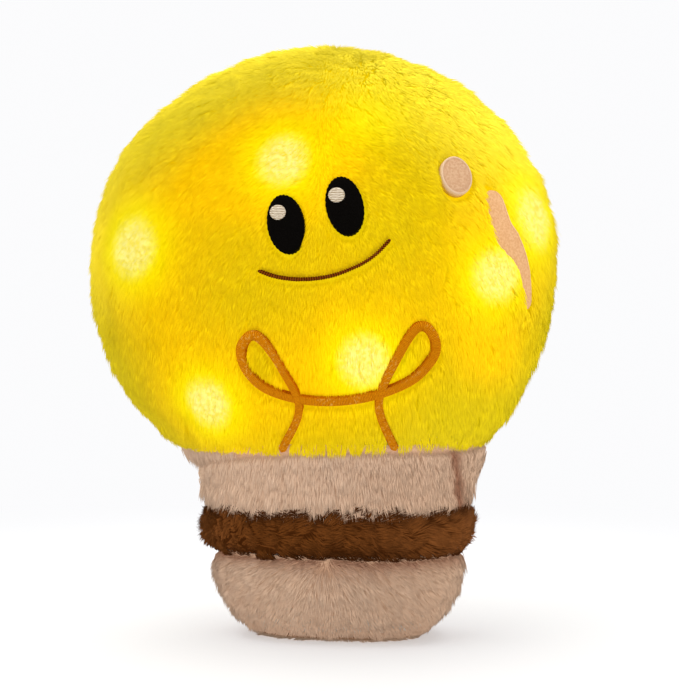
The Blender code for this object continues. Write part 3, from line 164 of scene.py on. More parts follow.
class Finish:
    """A material and its node tree, with the constants of its Principled shader."""

    def __init__(self, name, constants):
        self.material = bpy.data.materials.new(name)
        self.material.use_nodes = True
        self.tree = self.material.node_tree
        self.shader = self.tree.nodes["Principled BSDF"]
        for socket, value in constants.items():
            self.shader.inputs[socket].default_value = value

    def node(self, kind, settings, inputs, output):
        """New node's output: its settings first, then the values or links of its sockets."""
        made = self.tree.nodes.new(kind)
        for name, value in settings.items():
            setattr(made, name, value)
        for socket, value in inputs.items():
            if isinstance(value, Term):
                self.tree.links.new(value.socket, made.inputs[socket])
            else:
                made.inputs[socket].default_value = value
        return Term(self, made.outputs[output])

    def math(self, operation, *values):
        """Math node of values or terms."""
        return self.node("ShaderNodeMath", {"operation": operation}, dict(enumerate(values)), 0)

    def blend(self, factor, first, second, kind="MIX"):
        """Colour mixed from one to another."""
        return self.node(
            "ShaderNodeMix", {"data_type": "RGBA", "blend_type": kind}, {0: factor, 6: first, 7: second}, 2
        )

    def place(self):
        """Object coordinates."""
        return self.node("ShaderNodeTexCoord", {}, {}, "Object")

    def attribute(self, name):
        """The mesh's own attribute."""
        return self.node("ShaderNodeAttribute", {"attribute_name": name}, {}, "Fac")

    def noise(self, scale, detail=2.0):
        """Noise value around a half over Object coordinates."""
        sockets = {"Scale": scale, "Detail": detail, "Vector": self.place()}
        return self.node("ShaderNodeTexNoise", {}, sockets, 0)

    def ramp(self, value, low, high):
        """The value's share of the way from low to high, held between 0 and 1."""
        settings = {"interpolation_type": "SMOOTHSTEP"}
        return self.node("ShaderNodeMapRange", settings, {0: value, 1: low, 2: high}, 0)

    def feed(self, **sockets):
        """Link terms into the shader's sockets, named with underscores for spaces."""
        for name, term in sockets.items():
            self.tree.links.new(term.socket, self.shader.inputs[name.replace("_", " ")])
        return self

    def bump(self, height, distance, strength=0.6):
        """Bump from a height term."""
        sockets = {"Height": height, "Distance": distance, "Strength": strength}
        term = self.node("ShaderNodeBump", {}, sockets, "Normal")
        return self.feed(Normal=term)


def unit(vectors):
    """Vectors of length one."""
    return vectors / np.maximum(np.linalg.norm(vectors, axis=-1, keepdims=True), 1e-12)


def flat_part(vectors, normals):
    """Part of each vector that lies in the plane of its normal."""
    return vectors - normals * (vectors * normals).sum(-1, keepdims=True)


def bell(values, middle, width):
    """Bell of one at its middle."""
    return np.exp(-(((values - middle) / width) ** 2))


def rising(values, start, span):
    """Share from 0 at a start to 1 a span further up."""
    return np.clip((values - start) / span, 0, 1)


def falling(values, start, span):
    """Share from 0 at a start to 1 a span further down."""
    return np.clip((start - values) / span, 0, 1)


def round_turns(count):
    """Evenly spaced turns once round."""
    return np.linspace(0, 2 * math.pi, count, endpoint=False)


def round_reach(across, along, power):
    """How far a superellipse of one power and half size one reaches along a direction."""
    return (np.abs(across) ** power + np.abs(along) ** power) ** (-1 / power)


def mesh_of(name, points, faces, finish, smooth=True):
    """Mesh object of points and faces with one corner count, with its material."""
    mesh = bpy.data.meshes.new(name)
    count, corners = faces.shape
    mesh.vertices.add(len(points))
    mesh.vertices.foreach_set("co", np.ascontiguousarray(points, np.float32).ravel())
    mesh.loops.add(count * corners)
    mesh.loops.foreach_set("vertex_index", np.ascontiguousarray(faces, np.int32).ravel())
    mesh.polygons.add(count)
    mesh.polygons.foreach_set("loop_start", np.arange(0, count * corners, corners, dtype=np.int32))
    mesh.update(calc_edges=True)
    mesh.polygons.foreach_set("use_smooth", np.full(count, smooth))
    mesh.materials.append(finish.material)
    made = bpy.data.objects.new(name, mesh)
    bpy.context.scene.collection.objects.link(made)
    return made


def grid_faces(rows, columns, closed_rows):
    """Four-cornered faces between neighbours of a grid whose points run row by row."""
    down = np.arange(rows if closed_rows else rows - 1)
    along = np.arange(columns)
    a, b = np.meshgrid(down, along, indexing="ij")
    a, b = a.ravel(), b.ravel()
    c, d = (a + 1) % rows, (b + 1) % columns
    return np.stack([a * columns + b, a * columns + d, c * columns + d, c * columns + b], 1)


def outward(made):
    """Merge doubled points, close round the poles and turn every face outwards."""
    shape = bmesh.new()
    shape.from_mesh(made.data)
    bmesh.ops.remove_doubles(shape, verts=shape.verts, dist=1e-6)
    bmesh.ops.recalc_face_normals(shape, faces=shape.faces)
    shape.to_mesh(made.data)
    shape.free()
    return made


def note(mesh, name, values):
    """Store one number for each point of a mesh."""
    layer = mesh.attributes.new(name, "FLOAT", "POINT")
    layer.data.foreach_set("value", np.ascontiguousarray(values, np.float32).ravel())


def grid_shell(name, grid, finish, closed_rows=False, **notes):
    """Closed surface of a grid of points: rows run along, columns run round; poles are merged.

    Each note is an array that spreads over the grid, stored as the mesh's own attribute.
    """
    rows, columns = grid.shape[:2]
    made = mesh_of(name, grid.reshape(-1, 3), grid_faces(rows, columns, closed_rows), finish)
    for label, values in notes.items():
        note(made.data, label, np.broadcast_to(values, (rows, columns)))
    return outward(made)


def curve_through(points, span):
    """Points along a Catmull-Rom curve through the given ones, span steps between two."""
    points = np.array(points, float)
    padded = np.vstack([2 * points[0] - points[1], points, 2 * points[-1] - points[-2]])
    step = np.linspace(0, 1, span, endpoint=False)[None, :, None]
    a, b, c, d = (padded[i:len(padded) - 3 + i, None, :] for i in range(4))
    bend = 2 * a - 5 * b + 4 * c - d
    twist = 3 * b - a - 3 * c + d
    runs = (2 * b + (c - a) * step + bend * step**2 + twist * step**3) / 2
    return np.vstack([runs.reshape(-1, points.shape[1]), points[-1:]])


def on_skin(across, up, side):
    """Points over the cover at (across, up) shares, and the normals there.

    The globe's outline is a superellipse of its fullness turned about the forward axis.
    """
    across, up = np.asarray(across, float), np.asarray(up, float)
    share = np.minimum(np.hypot(across, up), 0.99999)
    ahead = (1 - share**GLOBE_FULLNESS) ** (1 / GLOBE_FULLNESS)
    slope = share ** (GLOBE_FULLNESS - 2) / GLOBE_RADIUS
    forward = ahead ** (GLOBE_FULLNESS - 1) / GLOBE_DEPTH
    normal = unit(np.stack([slope * across, -side * forward, slope * up], -1))
    place = np.stack([across * GLOBE_RADIUS, -side * ahead * GLOBE_DEPTH, up * GLOBE_RADIUS], -1)
    return place + CENTRE, normal


def globe_share(points, inset=0.0):
    """How far points lie from the globe's centre, as a share of the outline drawn in by inset."""
    rays = np.asarray(points) - CENTRE
    across = np.hypot(rays[..., 0], rays[..., 2]) / (GLOBE_RADIUS - inset)
    ahead = np.abs(rays[..., 1]) / (GLOBE_DEPTH - inset)
    return (across**GLOBE_FULLNESS + ahead**GLOBE_FULLNESS) ** (1 / GLOBE_FULLNESS)


# How far the stuffed outline swells past the round one, by degrees from the toy's left
PLUMP_DEGREES = (-180, -150, -130, -110, -60, -40, -20, 0, 12, 25, 50, 62, 90, 112, 130, 140, 152, 180)
PLUMP_SWELLS = (0.0033, 0.0012, -0.0030, -0.0010, 0.0005, 0.0022, 0.0006, 0.0016, 0.0040, 0.0042, 0.0030, 0.0006,
                -0.0008, -0.0015, 0.0, 0.0024, 0.0038, 0.0033)


def plumped(points):
    """Points near the globe moved out or in across its axis, by the outline's swell at their turn.

    The move grows with the fourth power of the distance from the axis, so only the rim swells.
    """
    rays = points - CENTRE
    radius = np.maximum(np.hypot(rays[..., 0], rays[..., 2]), 1e-9)
    degrees = np.degrees(np.arctan2(rays[..., 2], rays[..., 0]))
    swell = np.interp(degrees, PLUMP_DEGREES, PLUMP_SWELLS) * (radius / GLOBE_RADIUS) ** 4
    way = rays * np.array([1.0, 0.0, 1.0]) / radius[..., None]
    return points + way * swell[..., None]


def globe_places(inset, angle, turn):
    """Points on the globe drawn in by inset, at angles off the front pole and turns about the axis."""
    out, ahead = np.sin(angle), np.cos(angle)
    reach = round_reach(out, ahead, GLOBE_FULLNESS)
    radius = (GLOBE_RADIUS - inset) * out * reach
    depth = (GLOBE_DEPTH - inset) * ahead * reach
    x, z = radius * np.cos(turn), radius * np.sin(turn)
    return np.stack([x, np.broadcast_to(-depth, x.shape), z], -1) + CENTRE


def globe_normal(points):
    """Outward normals of the globe's skin at points on or near it."""
    rays = points - CENTRE
    radius = np.maximum(np.hypot(rays[..., 0], rays[..., 2]), 1e-9)
    out = (radius / GLOBE_RADIUS) ** (GLOBE_FULLNESS - 1) / GLOBE_RADIUS
    ahead = (np.abs(rays[..., 1]) / GLOBE_DEPTH) ** (GLOBE_FULLNESS - 1) / GLOBE_DEPTH
    x, z = out * rays[..., 0] / radius, out * rays[..., 2] / radius
    return unit(np.stack([x, np.sign(rays[..., 1]) * ahead, z], -1))


def seam_angle(forward, depth):
    """Angle off the front pole at which the outline crosses a forward distance."""
    share = min(abs(forward) / depth, 1)
    return math.atan2((1 - share**GLOBE_FULLNESS) ** (1 / GLOBE_FULLNESS), math.copysign(share, forward))


def globe_roots(count, inset):
    """Evenly spread points on the globe drawn in by inset: equal areas by a spiral of golden turns."""
    near_pole, rows = 0.001, 2000
    angles = np.linspace(near_pole, math.pi - near_pole, rows)
    line = globe_places(inset, angles, 0.0)
    steps = np.linalg.norm(np.diff(line, axis=0), axis=1)
    radius = np.abs(line[:-1, 0] + line[1:, 0]) / 2
    area = np.concatenate([[0], np.cumsum(steps * radius)])
    share = (np.arange(count) + 0.5) / count
    angle = np.interp(share * area[-1], area, angles)
    return globe_places(inset, angle, np.arange(count) * math.pi * (3 - math.sqrt(5)))


def base_section(height):
    """Half width, half depth and fullness of cap, band and neck at heights."""
    height = np.asarray(height, float)
    cap_h, cap_in = np.array(CAP_OUTLINE).T
    band_h, band_out = np.array(BAND_OUTLINE).T
    neck_h, neck_out = np.array(NECK_OUTLINE).T
    drawn = np.interp(height, cap_h * CAP_HEIGHT, cap_in) * CAP_ROUNDING
    proud = np.interp(height, CAP_HEIGHT + band_h * BAND_HEIGHT, band_out) * BAND_PROUD
    flare = np.interp(height, NECK_FOOT + neck_h * NECK_HEIGHT, neck_out) * NECK_FLARE
    on_cap, on_neck = height < CAP_HEIGHT, height > NECK_FOOT
    width = np.where(on_neck, NECK_HALF_WIDTH + flare, CAP_HALF_WIDTH + np.where(on_cap, -drawn, proud))
    depth = np.where(on_neck, NECK_HALF_DEPTH + flare, CAP_HALF_DEPTH + np.where(on_cap, -drawn, proud))
    share = rising(height, NECK_FOOT, NECK_HEIGHT)
    return width, depth, BASE_FULLNESS + (NECK_FULLNESS - BASE_FULLNESS) * share


def base_points(height, turn, inset):
    """Points on the base's level outlines drawn in by inset."""
    width, depth, fullness = base_section(height)
    across, along = np.cos(turn), np.sin(turn)
    inset = inset + LOW_INSET * np.clip(1 - height / LOW_HEIGHT, 0, 1) ** 1.3
    reach = round_reach(across, along, fullness)
    x = BASE_SHIFT + (width - inset) * across * reach
    return np.stack([x, (depth - inset) * along * reach, np.broadcast_to(height, x.shape)], -1)


def base_roots(low, high, spacing, inset, chance):
    """Evenly spread points on the base between two heights, with their outward normals."""
    row_share, small = 0.87, 0.002
    turns = np.append(round_turns(720), 2 * math.pi)
    found = []
    for row, height in enumerate(np.arange(low, high, spacing * row_share)):
        ring = base_points(height, turns, inset)
        length = np.concatenate([[0], np.cumsum(np.linalg.norm(np.diff(ring, axis=0), axis=1))])
        steps = (np.arange(0, length[-1] - spacing / 2, spacing) + (row % 2) * spacing / 2) % length[-1]
        found.append(np.stack([np.interp(steps, length, turns), np.full(len(steps), height)], 1))
    turn, height = np.vstack(found).T
    turn = turn + chance.normal(0, 0.25 * spacing / 0.06, len(turn))
    height = np.clip(height + chance.normal(0, 0.25 * spacing, len(turn)), low, high)
    place = base_points(height, turn, inset)
    along = base_points(height, turn + 0.01, inset) - base_points(height, turn - 0.01, inset)
    up = base_points(height + small, turn, inset) - base_points(height - small, turn, inset)
    return place, unit(np.cross(along, up))


def nearest(points, centres):
    """Number of the nearest centre for each point, by squared distances in blocks."""
    points, centres = points.astype(np.float32), centres.astype(np.float32)
    square = (centres**2).sum(1)
    blocks = np.array_split(points, max(1, len(points) // 4000))
    return np.concatenate([(square - 2 * block @ centres.T).argmin(1) for block in blocks])


def line_distance(points, line):
    """Distance of each point to a line of points, by its nearest segment."""
    start, end = line[:-1], line[1:]
    run = end - start
    share = ((points[:, None] - start) * run).sum(-1) / (run**2).sum(-1)
    foot = start + np.clip(share, 0, 1)[..., None] * run
    return np.linalg.norm(points[:, None] - foot, axis=-1).min(1)


STRAND_FACES = np.array([(0, 2, 1), (0, 3, 2), (0, 1, 3), (1, 2, 4), (2, 3, 4), (3, 1, 4)])
STRAND_AROUND = np.array([
    (0.17, 0.33, 0.0), (0.5, 0.67, 0.33), (0.83, 1.0, 0.67), (0.0, 0.33, 0.17), (0.33, 0.67, 0.5), (0.67, 1.0, 0.83),
])
STRAND_ALONG = np.array([(0, 0.5, 0.5), (0, 0.5, 0.5), (0, 0.5, 0.5), (0.5, 0.5, 1), (0.5, 0.5, 1), (0.5, 0.5, 1)])
STRAND_POINTS = 5


def strands(name, root, middle, tip, normal, width, tone, finish):
    """Pile of closed three-sided strands, each a root point, a ring at its middle and a tip point.

    A ring is three points a third of a turn apart about the strand's line. Every strand has its
    own cell in the map, across by the turn and up by the length.
    """
    count = len(root)
    run = unit(tip - root)
    side = unit(np.cross(run, normal))
    over = np.cross(run, side)
    turns = np.array([0, 2 * math.pi / 3, 4 * math.pi / 3])
    ring = side[:, None] * np.cos(turns)[:, None] + over[:, None] * np.sin(turns)[:, None]
    points = np.concatenate([root[:, None], middle[:, None] + ring * width[:, None, None] / 2, tip[:, None]], 1)
    faces = (STRAND_FACES[None] + STRAND_POINTS * np.arange(count)[:, None, None]).reshape(-1, 3)
    made = mesh_of(name, points.reshape(-1, 3), faces, finish)
    cells = math.ceil(math.sqrt(count))
    column, row = np.arange(count) % cells, np.arange(count) // cells
    u = (column[:, None, None] + 0.15 + 0.7 * STRAND_AROUND) / cells
    v = (row[:, None, None] + 0.15 + 0.7 * STRAND_ALONG) / cells
    layer = made.data.uv_layers.new(name="OFBake")
    layer.data.foreach_set("uv", np.stack([u, v], -1).astype(np.float32).ravel())
    note(made.data, "tone", np.repeat(tone, STRAND_POINTS))
    note(made.data, "along", np.tile([0, 0.5, 0.5, 0.5, 1.0], count))
    normal = unit(normal - flat_part(lump_slope(root), normal))
    lean = made.data.attributes.new("lean", "FLOAT_VECTOR", "POINT")
    lean.data.foreach_set("vector", np.repeat(normal, STRAND_POINTS, 0).astype(np.float32).ravel())
    return made


def lump_waves():
    """Wave vectors and phases of the pile's soft clumps, longer up and down than across."""
    chance = np.random.default_rng(5)
    turn = chance.uniform(0, math.pi, 14)
    size = 2 * math.pi / chance.uniform(0.009, 0.026, 14)
    waves = np.stack([np.cos(turn) * size, np.sin(turn) * size, chance.normal(0, 0.30, 14) * size], 1)
    return waves, chance.uniform(0, 2 * math.pi, 14)


LUMP_HEIGHT = 0.00010
LUMP_WAVES, LUMP_PHASES = lump_waves()


def lump_slope(points):
    """Slope of the clumps at points: the gradient of a sum of sines."""
    swing = np.cos(points @ LUMP_WAVES.T + LUMP_PHASES) * LUMP_HEIGHT
    return swing @ LUMP_WAVES


def lumped(points, normal):
    """Points moved along their normals by the clumps' sum of sines."""
    height = np.sin(points @ LUMP_WAVES.T + LUMP_PHASES).sum(1) * LUMP_HEIGHT * 1.5
    return points + normal * height[:, None]


def comb(root, normal, flow, length, rise, fall, chance, tuft, pull, stray, sway=1.0):
    """Middle and tip of each strand, gathered into tufts.

    A strand leaves its root at the rise angle over the skin and ends at the fall angle, both
    towards its flow. Every tuft has one strand whose turn, length and lift the others share, and
    they lean towards its tip by the pull.
    """
    count = len(root)
    heads = np.flatnonzero(chance.random(count) < tuft)
    head = heads[nearest(root, root[heads])]
    turn = (chance.normal(0, 1, count)[head] + chance.normal(0, 0.5, count)) * stray
    side = np.cross(normal, flow)
    flow = unit(flow * np.cos(turn)[:, None] + side * np.sin(turn)[:, None])
    longer = (1 + chance.normal(0, 0.07, count)[head] + chance.normal(0, 0.07, count)).clip(0.6, 1.35)
    lifted = (chance.normal(0, 0.10, count)[head] + chance.normal(0, 0.08, count)).clip(-0.3, 0.3) * sway
    length = (length * longer)[:, None]
    first, second = (rise + lifted)[:, None], (fall + lifted)[:, None]
    middle = root + length * 0.52 * (normal * np.sin(first) + flow * np.cos(first))
    tip = middle + length * 0.48 * (normal * np.sin(second) + flow * np.cos(second))
    middle = middle + (middle[head] - middle) * pull * 0.45
    tip = tip + (tip[head] - tip) * pull
    return middle, tip, head


def root_light(points):
    """Glow of the lights at points, as three bells of distance: warm cloth, halo and bright heart.

    The heart is level out to its inner radius and gone at its outer one.
    """
    warm, halo, heart = np.zeros((3, len(points)))
    for (across, up, side), size in zip(LIGHTS, LIGHT_SIZES):
        place = plumped(on_skin(across, up, side)[0])
        far = np.linalg.norm(points - place, axis=1)
        warm += bell(far, 0, 0.052)
        far = far / size
        halo += np.exp(-((far / 0.0225) ** 3.2))
        share = falling(far, 0.0165, 0.0095)
        heart += share * share * (3 - 2 * share)
    return warm, halo, heart


def cloth_finish(name, colour, dark, scale, glow=None):
    """Knitted cloth: two colours by a fine noise, with a bump of loops, and a glow on its outer side."""
    finish = Finish(name, {"Roughness": 0.95, "Specular IOR Level": 0.1, "Emission Strength": 1.0 if glow else 0.0})
    grain = finish.noise(scale, 2.0)
    finish.feed(Base_Color=finish.blend(finish.ramp(grain, 0.35, 0.65), dark, colour))
    if glow:
        finish.feed(Emission_Color=finish.blend(finish.attribute("outer"), (0, 0, 0, 1), (*glow, 1)))
    return finish.bump(grain, 0.0005)


def soft_normal(finish, share):
    """Shade strands partly by the skin below them, as a thick pile scatters light."""
    own = finish.node("ShaderNodeNewGeometry", {}, {}, "Normal")
    skin = finish.node("ShaderNodeAttribute", {"attribute_name": "lean"}, {}, "Vector")
    settings = {"vector_type": "NORMAL", "convert_from": "OBJECT", "convert_to": "WORLD"}
    skin = finish.node("ShaderNodeVectorTransform", settings, {0: skin}, 0)
    mixed = finish.node("ShaderNodeMix", {"data_type": "VECTOR"}, {0: share, 4: own, 5: skin}, 1)
    finish.feed(Normal=finish.node("ShaderNodeVectorMath", {"operation": "NORMALIZE"}, {0: mixed}, 0))


def inner_light(finish, colour, low, high):
    """Light that a thick pile scatters back: the colour itself, strong at the roots and weak at the tips."""
    gain = finish.attribute("along") * (high - low) + low
    return finish.blend(1.0, colour, gain, "MULTIPLY")


def yellow_pile():
    """Bright yellow pile: warmer and a little darker at the roots as painted shade, paler at the rim's tips as a
    painted rim highlight, lit through at the lights.
    """
    finish = Finish("yellow_pile", {"Roughness": 0.9, "Specular IOR Level": 0.03, "Emission Strength": 1.0})
    along, tone = finish.attribute("along"), finish.attribute("tone")
    warm, halo = finish.attribute("warm"), finish.attribute("halo")
    heart, rim = finish.attribute("heart"), finish.attribute("rim")
    # Painted shade: the roots a little darker and warmer than the tips.
    deep = finish.blend(tone, tint(230, 190, 2), tint(236, 198, 3))
    bright = finish.blend(tone, tint(238, 206, 5), tint(243, 214, 12))
    # Painted rim highlight: the tips turn pale towards the outline.
    bright = finish.blend(rim, bright, tint(252, 230, 66))
    colour = finish.blend(finish.ramp(along, 0.0, 0.7), deep, bright)
    patches = finish.ramp(finish.noise(45.0, 3.0), 0.35, 0.65)
    colour = finish.blend(patches * 0.35, colour, tint(228, 204, 8))
    finish.feed(Base_Color=colour)
    # Glow from inside the lit toy, made strong at the roots and weak at the tips as painted light that fills the shade
    # between strands.
    inner = finish.blend(along, (0.44, 0.35, 0.001, 1), (0.170, 0.14, 0.003, 1))
    inner = finish.blend((warm.clamped() ** 2.2) * 0.7, inner, (0.72, 0.35, 0.0, 1))
    # Painted rim highlight in the glow too, towards the tips.
    inner = finish.blend(rim * along * 0.85, inner, (0.92, 0.74, 0.045, 1))
    glow = finish.blend(halo.clamped(), inner, (0.64, 0.60, 0.0, 1))
    glow = finish.blend(finish.attribute("shade") * 0.45, glow, (0.17, 0.15, 0.0, 1))
    fibres = finish.ramp(finish.noise(420.0, 2.0), 0.35, 0.65)
    core = finish.blend(fibres, (0.58, 0.50, 0.09, 1), (0.70, 0.70, 0.25, 1))
    finish.feed(Emission_Color=finish.blend(heart.clamped(), glow, core))
    soft_normal(finish, 0.88)
    return finish


def plain_pile(name, root, low, high, patch, crease, scale):
    """Pile without light: darker roots as painted shade, two tip colours by strand, soft patches, painted side light
    and shade, painted crease shade and painted light spilled from the globe.
    """
    finish = Finish(name, {"Roughness": 0.9, "Specular IOR Level": 0.03, "Emission Strength": 1.0})
    along, tone, shift = finish.attribute("along"), finish.attribute("tone"), finish.attribute("rim")
    bright = finish.blend(tone, low, high)
    # Painted side light and shade: the tips shift to the side colour where the rim note is set.
    bright = finish.blend(shift, bright, patch)
    colour = finish.blend(finish.ramp(along, 0.0, 0.7), root, bright)
    soft = finish.ramp(finish.noise(scale, 3.0), 0.3, 0.7)
    colour = finish.blend(soft * 0.3, colour, low)
    # Painted shade in the crease places and on the cap's left and foot, from the shade note.
    colour = finish.blend(finish.attribute("shade"), colour, crease)
    finish.feed(Base_Color=colour)
    # Painted light spilled from the globe, added to the light scattered in the pile.
    painted_spill_light = finish.attribute("painted_spill_light") * 0.16
    finish.feed(Emission_Color=inner_light(finish, colour, painted_spill_light + 0.46, painted_spill_light + 0.12))
    soft_normal(finish, 0.88)
    return finish


YELLOW_PILE = yellow_pile()
# Painted shade: the first colour, at the roots, is darker than the tips.
TAN_PILE = plain_pile(
    "tan_pile", tint(206, 166, 134), tint(219, 183, 154), tint(227, 195, 168), tint(215, 179, 150),
    tint(142, 86, 60), 60.0,
)
BROWN_PILE = plain_pile(
    "brown_pile", tint(92, 48, 16), tint(114, 64, 24), tint(128, 74, 32), tint(146, 88, 44), tint(54, 25, 8), 80.0,
)
YELLOW_CLOTH = cloth_finish("yellow_backing", tint(236, 202, 20), tint(222, 184, 8), 900.0, (0.44, 0.36, 0.0))
TAN_CLOTH = cloth_finish("tan_backing", tint(200, 162, 132), tint(184, 144, 114), 900.0, (0.24, 0.15, 0.097))
BROWN_CLOTH = cloth_finish("brown_backing", tint(84, 42, 12), tint(66, 32, 9), 900.0, (0.037, 0.010, 0.0015))


def ride(made, body, slot, *nodes):
    """Put a finished piece on its body and hide the solids that it stands for; slot is not used."""
    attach(made, body)
    if nodes:
        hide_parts(*nodes)
    return made


# Backing shells of the globe, under the pile
BACKING_INSET = 0.0050
BACKING_WALL = 0.0010


def globe_shell(name, start, end, finish, columns=192):
    """Closed shell of the globe between two forward planes: outer wall down and inner wall back up.

    The wall's two faces are the globe's outline drawn in by the backing's inset, the inner one by
    its thickness more.
    """
    turns = round_turns(columns)
    grids = []
    for inset, forwards in ((BACKING_INSET, (start, end)), (BACKING_INSET + BACKING_WALL, (end, start))):
        depth = GLOBE_DEPTH - inset
        angles = [
            seam_angle(forward, depth) if abs(forward) < depth else (0.0 if forward > 0 else math.pi)
            for forward in forwards
        ]
        grids.append(plumped(globe_places(inset, np.linspace(*angles, 40)[:, None], turns)))
    outer = np.repeat([1.0, 0.0], 40)[:, None]
    return grid_shell(name, np.concatenate(grids), finish, closed_rows=True, outer=outer)


def block(name, low, high):
    """Hidden block between two corners, to cut with."""
    low, high = np.array(low), np.array(high)
    corners = np.array([(x, y, z) for z in (0, 1) for y in (0, 1) for x in (0, 1)])
    faces = np.array([(0, 2, 3, 1), (4, 5, 7, 6), (0, 1, 5, 4), (2, 6, 7, 3), (0, 4, 6, 2), (1, 3, 7, 5)])
    return mesh_of(name, low + corners * (high - low), faces, YELLOW_CLOTH, smooth=False)


def carve(made, cutter, operation):
    """Apply one Boolean with a block, and remove the block."""
    modifier = made.modifiers.new("Carve", "BOOLEAN")
    modifier.operation = operation
    modifier.object = cutter
    graph = bpy.context.evaluated_depsgraph_get()
    mesh = bpy.data.meshes.new_from_object(made.evaluated_get(graph))
    made.modifiers.clear()
    made.data = mesh
    bpy.data.objects.remove(cutter)
    return made


def flap_block(growth):
    """Block through the back cover with the flap's outline, grown all round."""
    low = (-FLAP_HALF_WIDTH - growth, 0.03, POCKET_MIDDLE - FLAP_DROP - growth)
    high = (FLAP_HALF_WIDTH + growth, 0.12, POCKET_MIDDLE + FLAP_RISE + growth)
    return block("flap_block", low, high)


front_backing = globe_shell("globe_front_backing", 1.0, SEAM, YELLOW_CLOTH)
side_backing = globe_shell("globe_side_backing", SEAM - 0.0003, -SEAM + 0.0003, YELLOW_CLOTH)
back_backing = globe_shell("globe_back_backing", -SEAM, -1.0, YELLOW_CLOTH)
flap_backing = globe_shell("pocket_flap_backing", -SEAM, -1.0, YELLOW_CLOTH)
carve(back_backing, flap_block(0.0003), "DIFFERENCE")
carve(flap_backing, flap_block(-0.0003), "INTERSECT")
for piece, body in (
    (front_backing, "root"), (side_backing, "root"), (back_backing, "root"), (flap_backing, "pocket_flap"),
):
    ride(piece, body, "yellow_pile")


def base_shell(name, heights, finish, inset, wall=0.0010):
    """Closed ring of the base between heights, with an outer and an inner wall."""
    turns = round_turns(160)
    outer = [base_points(np.full(160, height), turns, inset) for height in heights]
    inner = [base_points(np.full(160, height), turns, inset + wall) for height in heights[::-1]]
    marks = np.repeat([1.0, 0.0], len(heights))[:, None]
    return grid_shell(name, np.array(outer + inner), finish, closed_rows=True, outer=marks)


neck_backing = base_shell("neck_backing", np.linspace(NECK_FOOT + 0.0005, NECK_FOOT + 0.0355, 16), TAN_CLOTH, 0.0052)
band_backing = base_shell("band_backing", np.linspace(CAP_HEIGHT + 0.0004, NECK_FOOT - 0.0004, 14), BROWN_CLOTH, 0.0065)
cap_backing = base_shell("cap_backing", np.linspace(0.0035, CAP_HEIGHT - 0.0004, 22), TAN_CLOTH, 0.0052)
ride(neck_backing, "root", "tan_pile")
ride(band_backing, "root", "brown_pile")
ride(cap_backing, "root", "tan_pile")


# Lines and patches that the pile keeps clear of
def skin_line(shares, span):
    """Points over the skin along a curve through (across, up) shares, and the normals there."""
    path = curve_through(shares, span)
    return on_skin(path[:, 0], path[:, 1], 1)


def patch_frame(share, turn):
    """Middle, right, up and outward direction of a patch on the front, turned by degrees."""
    middle, normal = on_skin(share[0], share[1], 1)
    right = unit(np.cross(np.array([0, 0, 1.0]), normal))
    up = np.cross(normal, right)
    angle = math.radians(turn)
    cosine, sine = math.cos(angle), math.sin(angle)
    return middle, right * cosine + up * sine, up * cosine - right * sine, normal


def outside_patch(points, share, turn, half_width, half_height):
    """How far points lie outside an oval patch: negative inside it, in metres along its short side."""
    middle, right, up, _ = patch_frame(share, turn)
    away = points - middle
    reach = np.hypot(away @ right / half_width, away @ up / half_height)
    return (reach - 1) * min(half_width, half_height)


MOUTH_LINE, _ = skin_line(MOUTH, 6)
FILAMENT_LINE, _ = skin_line(FILAMENT, 6)
STRIPE_LINE, STRIPE_NORMALS = skin_line(STRIPE, 6)
STRIPE_HALVES = np.interp(np.linspace(0, 1, len(STRIPE_LINE)), np.linspace(0, 1, len(STRIPE_WIDTHS)), STRIPE_WIDTHS) / 2


def stripe_side(points):
    """Signed distance of points across the stripe's line, negative towards the face, and its half width there."""
    place = nearest(points, STRIPE_LINE)
    across = unit(np.cross(STRIPE_NORMALS, unit(np.gradient(STRIPE_LINE, axis=0))))
    away = points - STRIPE_LINE[place]
    side = (away * across[place]).sum(1)
    return np.copysign(np.linalg.norm(away, axis=1), side), STRIPE_HALVES[place]


def banked(points, normal):
    """Points of the pile lifted into the two soft banks of the crease that the stripe lies in."""
    side, half = stripe_side(points)
    low, high = STRIPE_LINE[-1, 2] - 0.02, STRIPE_LINE[0, 2] + 0.004
    middle = rising(points[:, 2], low, 0.02) * falling(points[:, 2], high, 0.012)
    face_bank = 0.0032 * np.exp(-(((side + half + 0.0035) / 0.0065) ** 2))
    rear_bank = 0.0010 * np.exp(-(((side - half - 0.0050) / 0.0050) ** 2))
    return points + normal * ((face_bank + rear_bank) * middle)[:, None]


def pressed(points):
    """Points of the pile held down round the stitching: under it inside its edges, and rising outside."""
    normals = globe_normal(points)
    skin = CENTRE + (points - CENTRE) / globe_share(points)[:, None]
    height = ((points - skin) * normals).sum(1)
    clear = clearance(skin)
    most = np.where(clear < 0, -0.0030, 0.0002 + 0.0048 * np.clip(clear / 0.004, 0, 1))
    lowered = np.minimum(height, most) - height
    return points + normals * lowered[:, None]


def cut_short(root, middle, tip):
    """Strands ended at the place where they would run over the stitching, by steps from their tips back."""
    def along(share):
        share = np.broadcast_to(share, len(root))[:, None] * 2
        return np.where(share > 1, middle + (tip - middle) * (share - 1), root + (middle - root) * share)

    reached = np.ones(len(root))
    for share in np.linspace(1.0, 0.16, 8):
        place = along(share)
        skin = CENTRE + (place - CENTRE) / globe_share(place)[:, None]
        reached = np.where(clearance(skin) < 0.0001, share, reached)
    return along(reached * 0.52), along(reached)


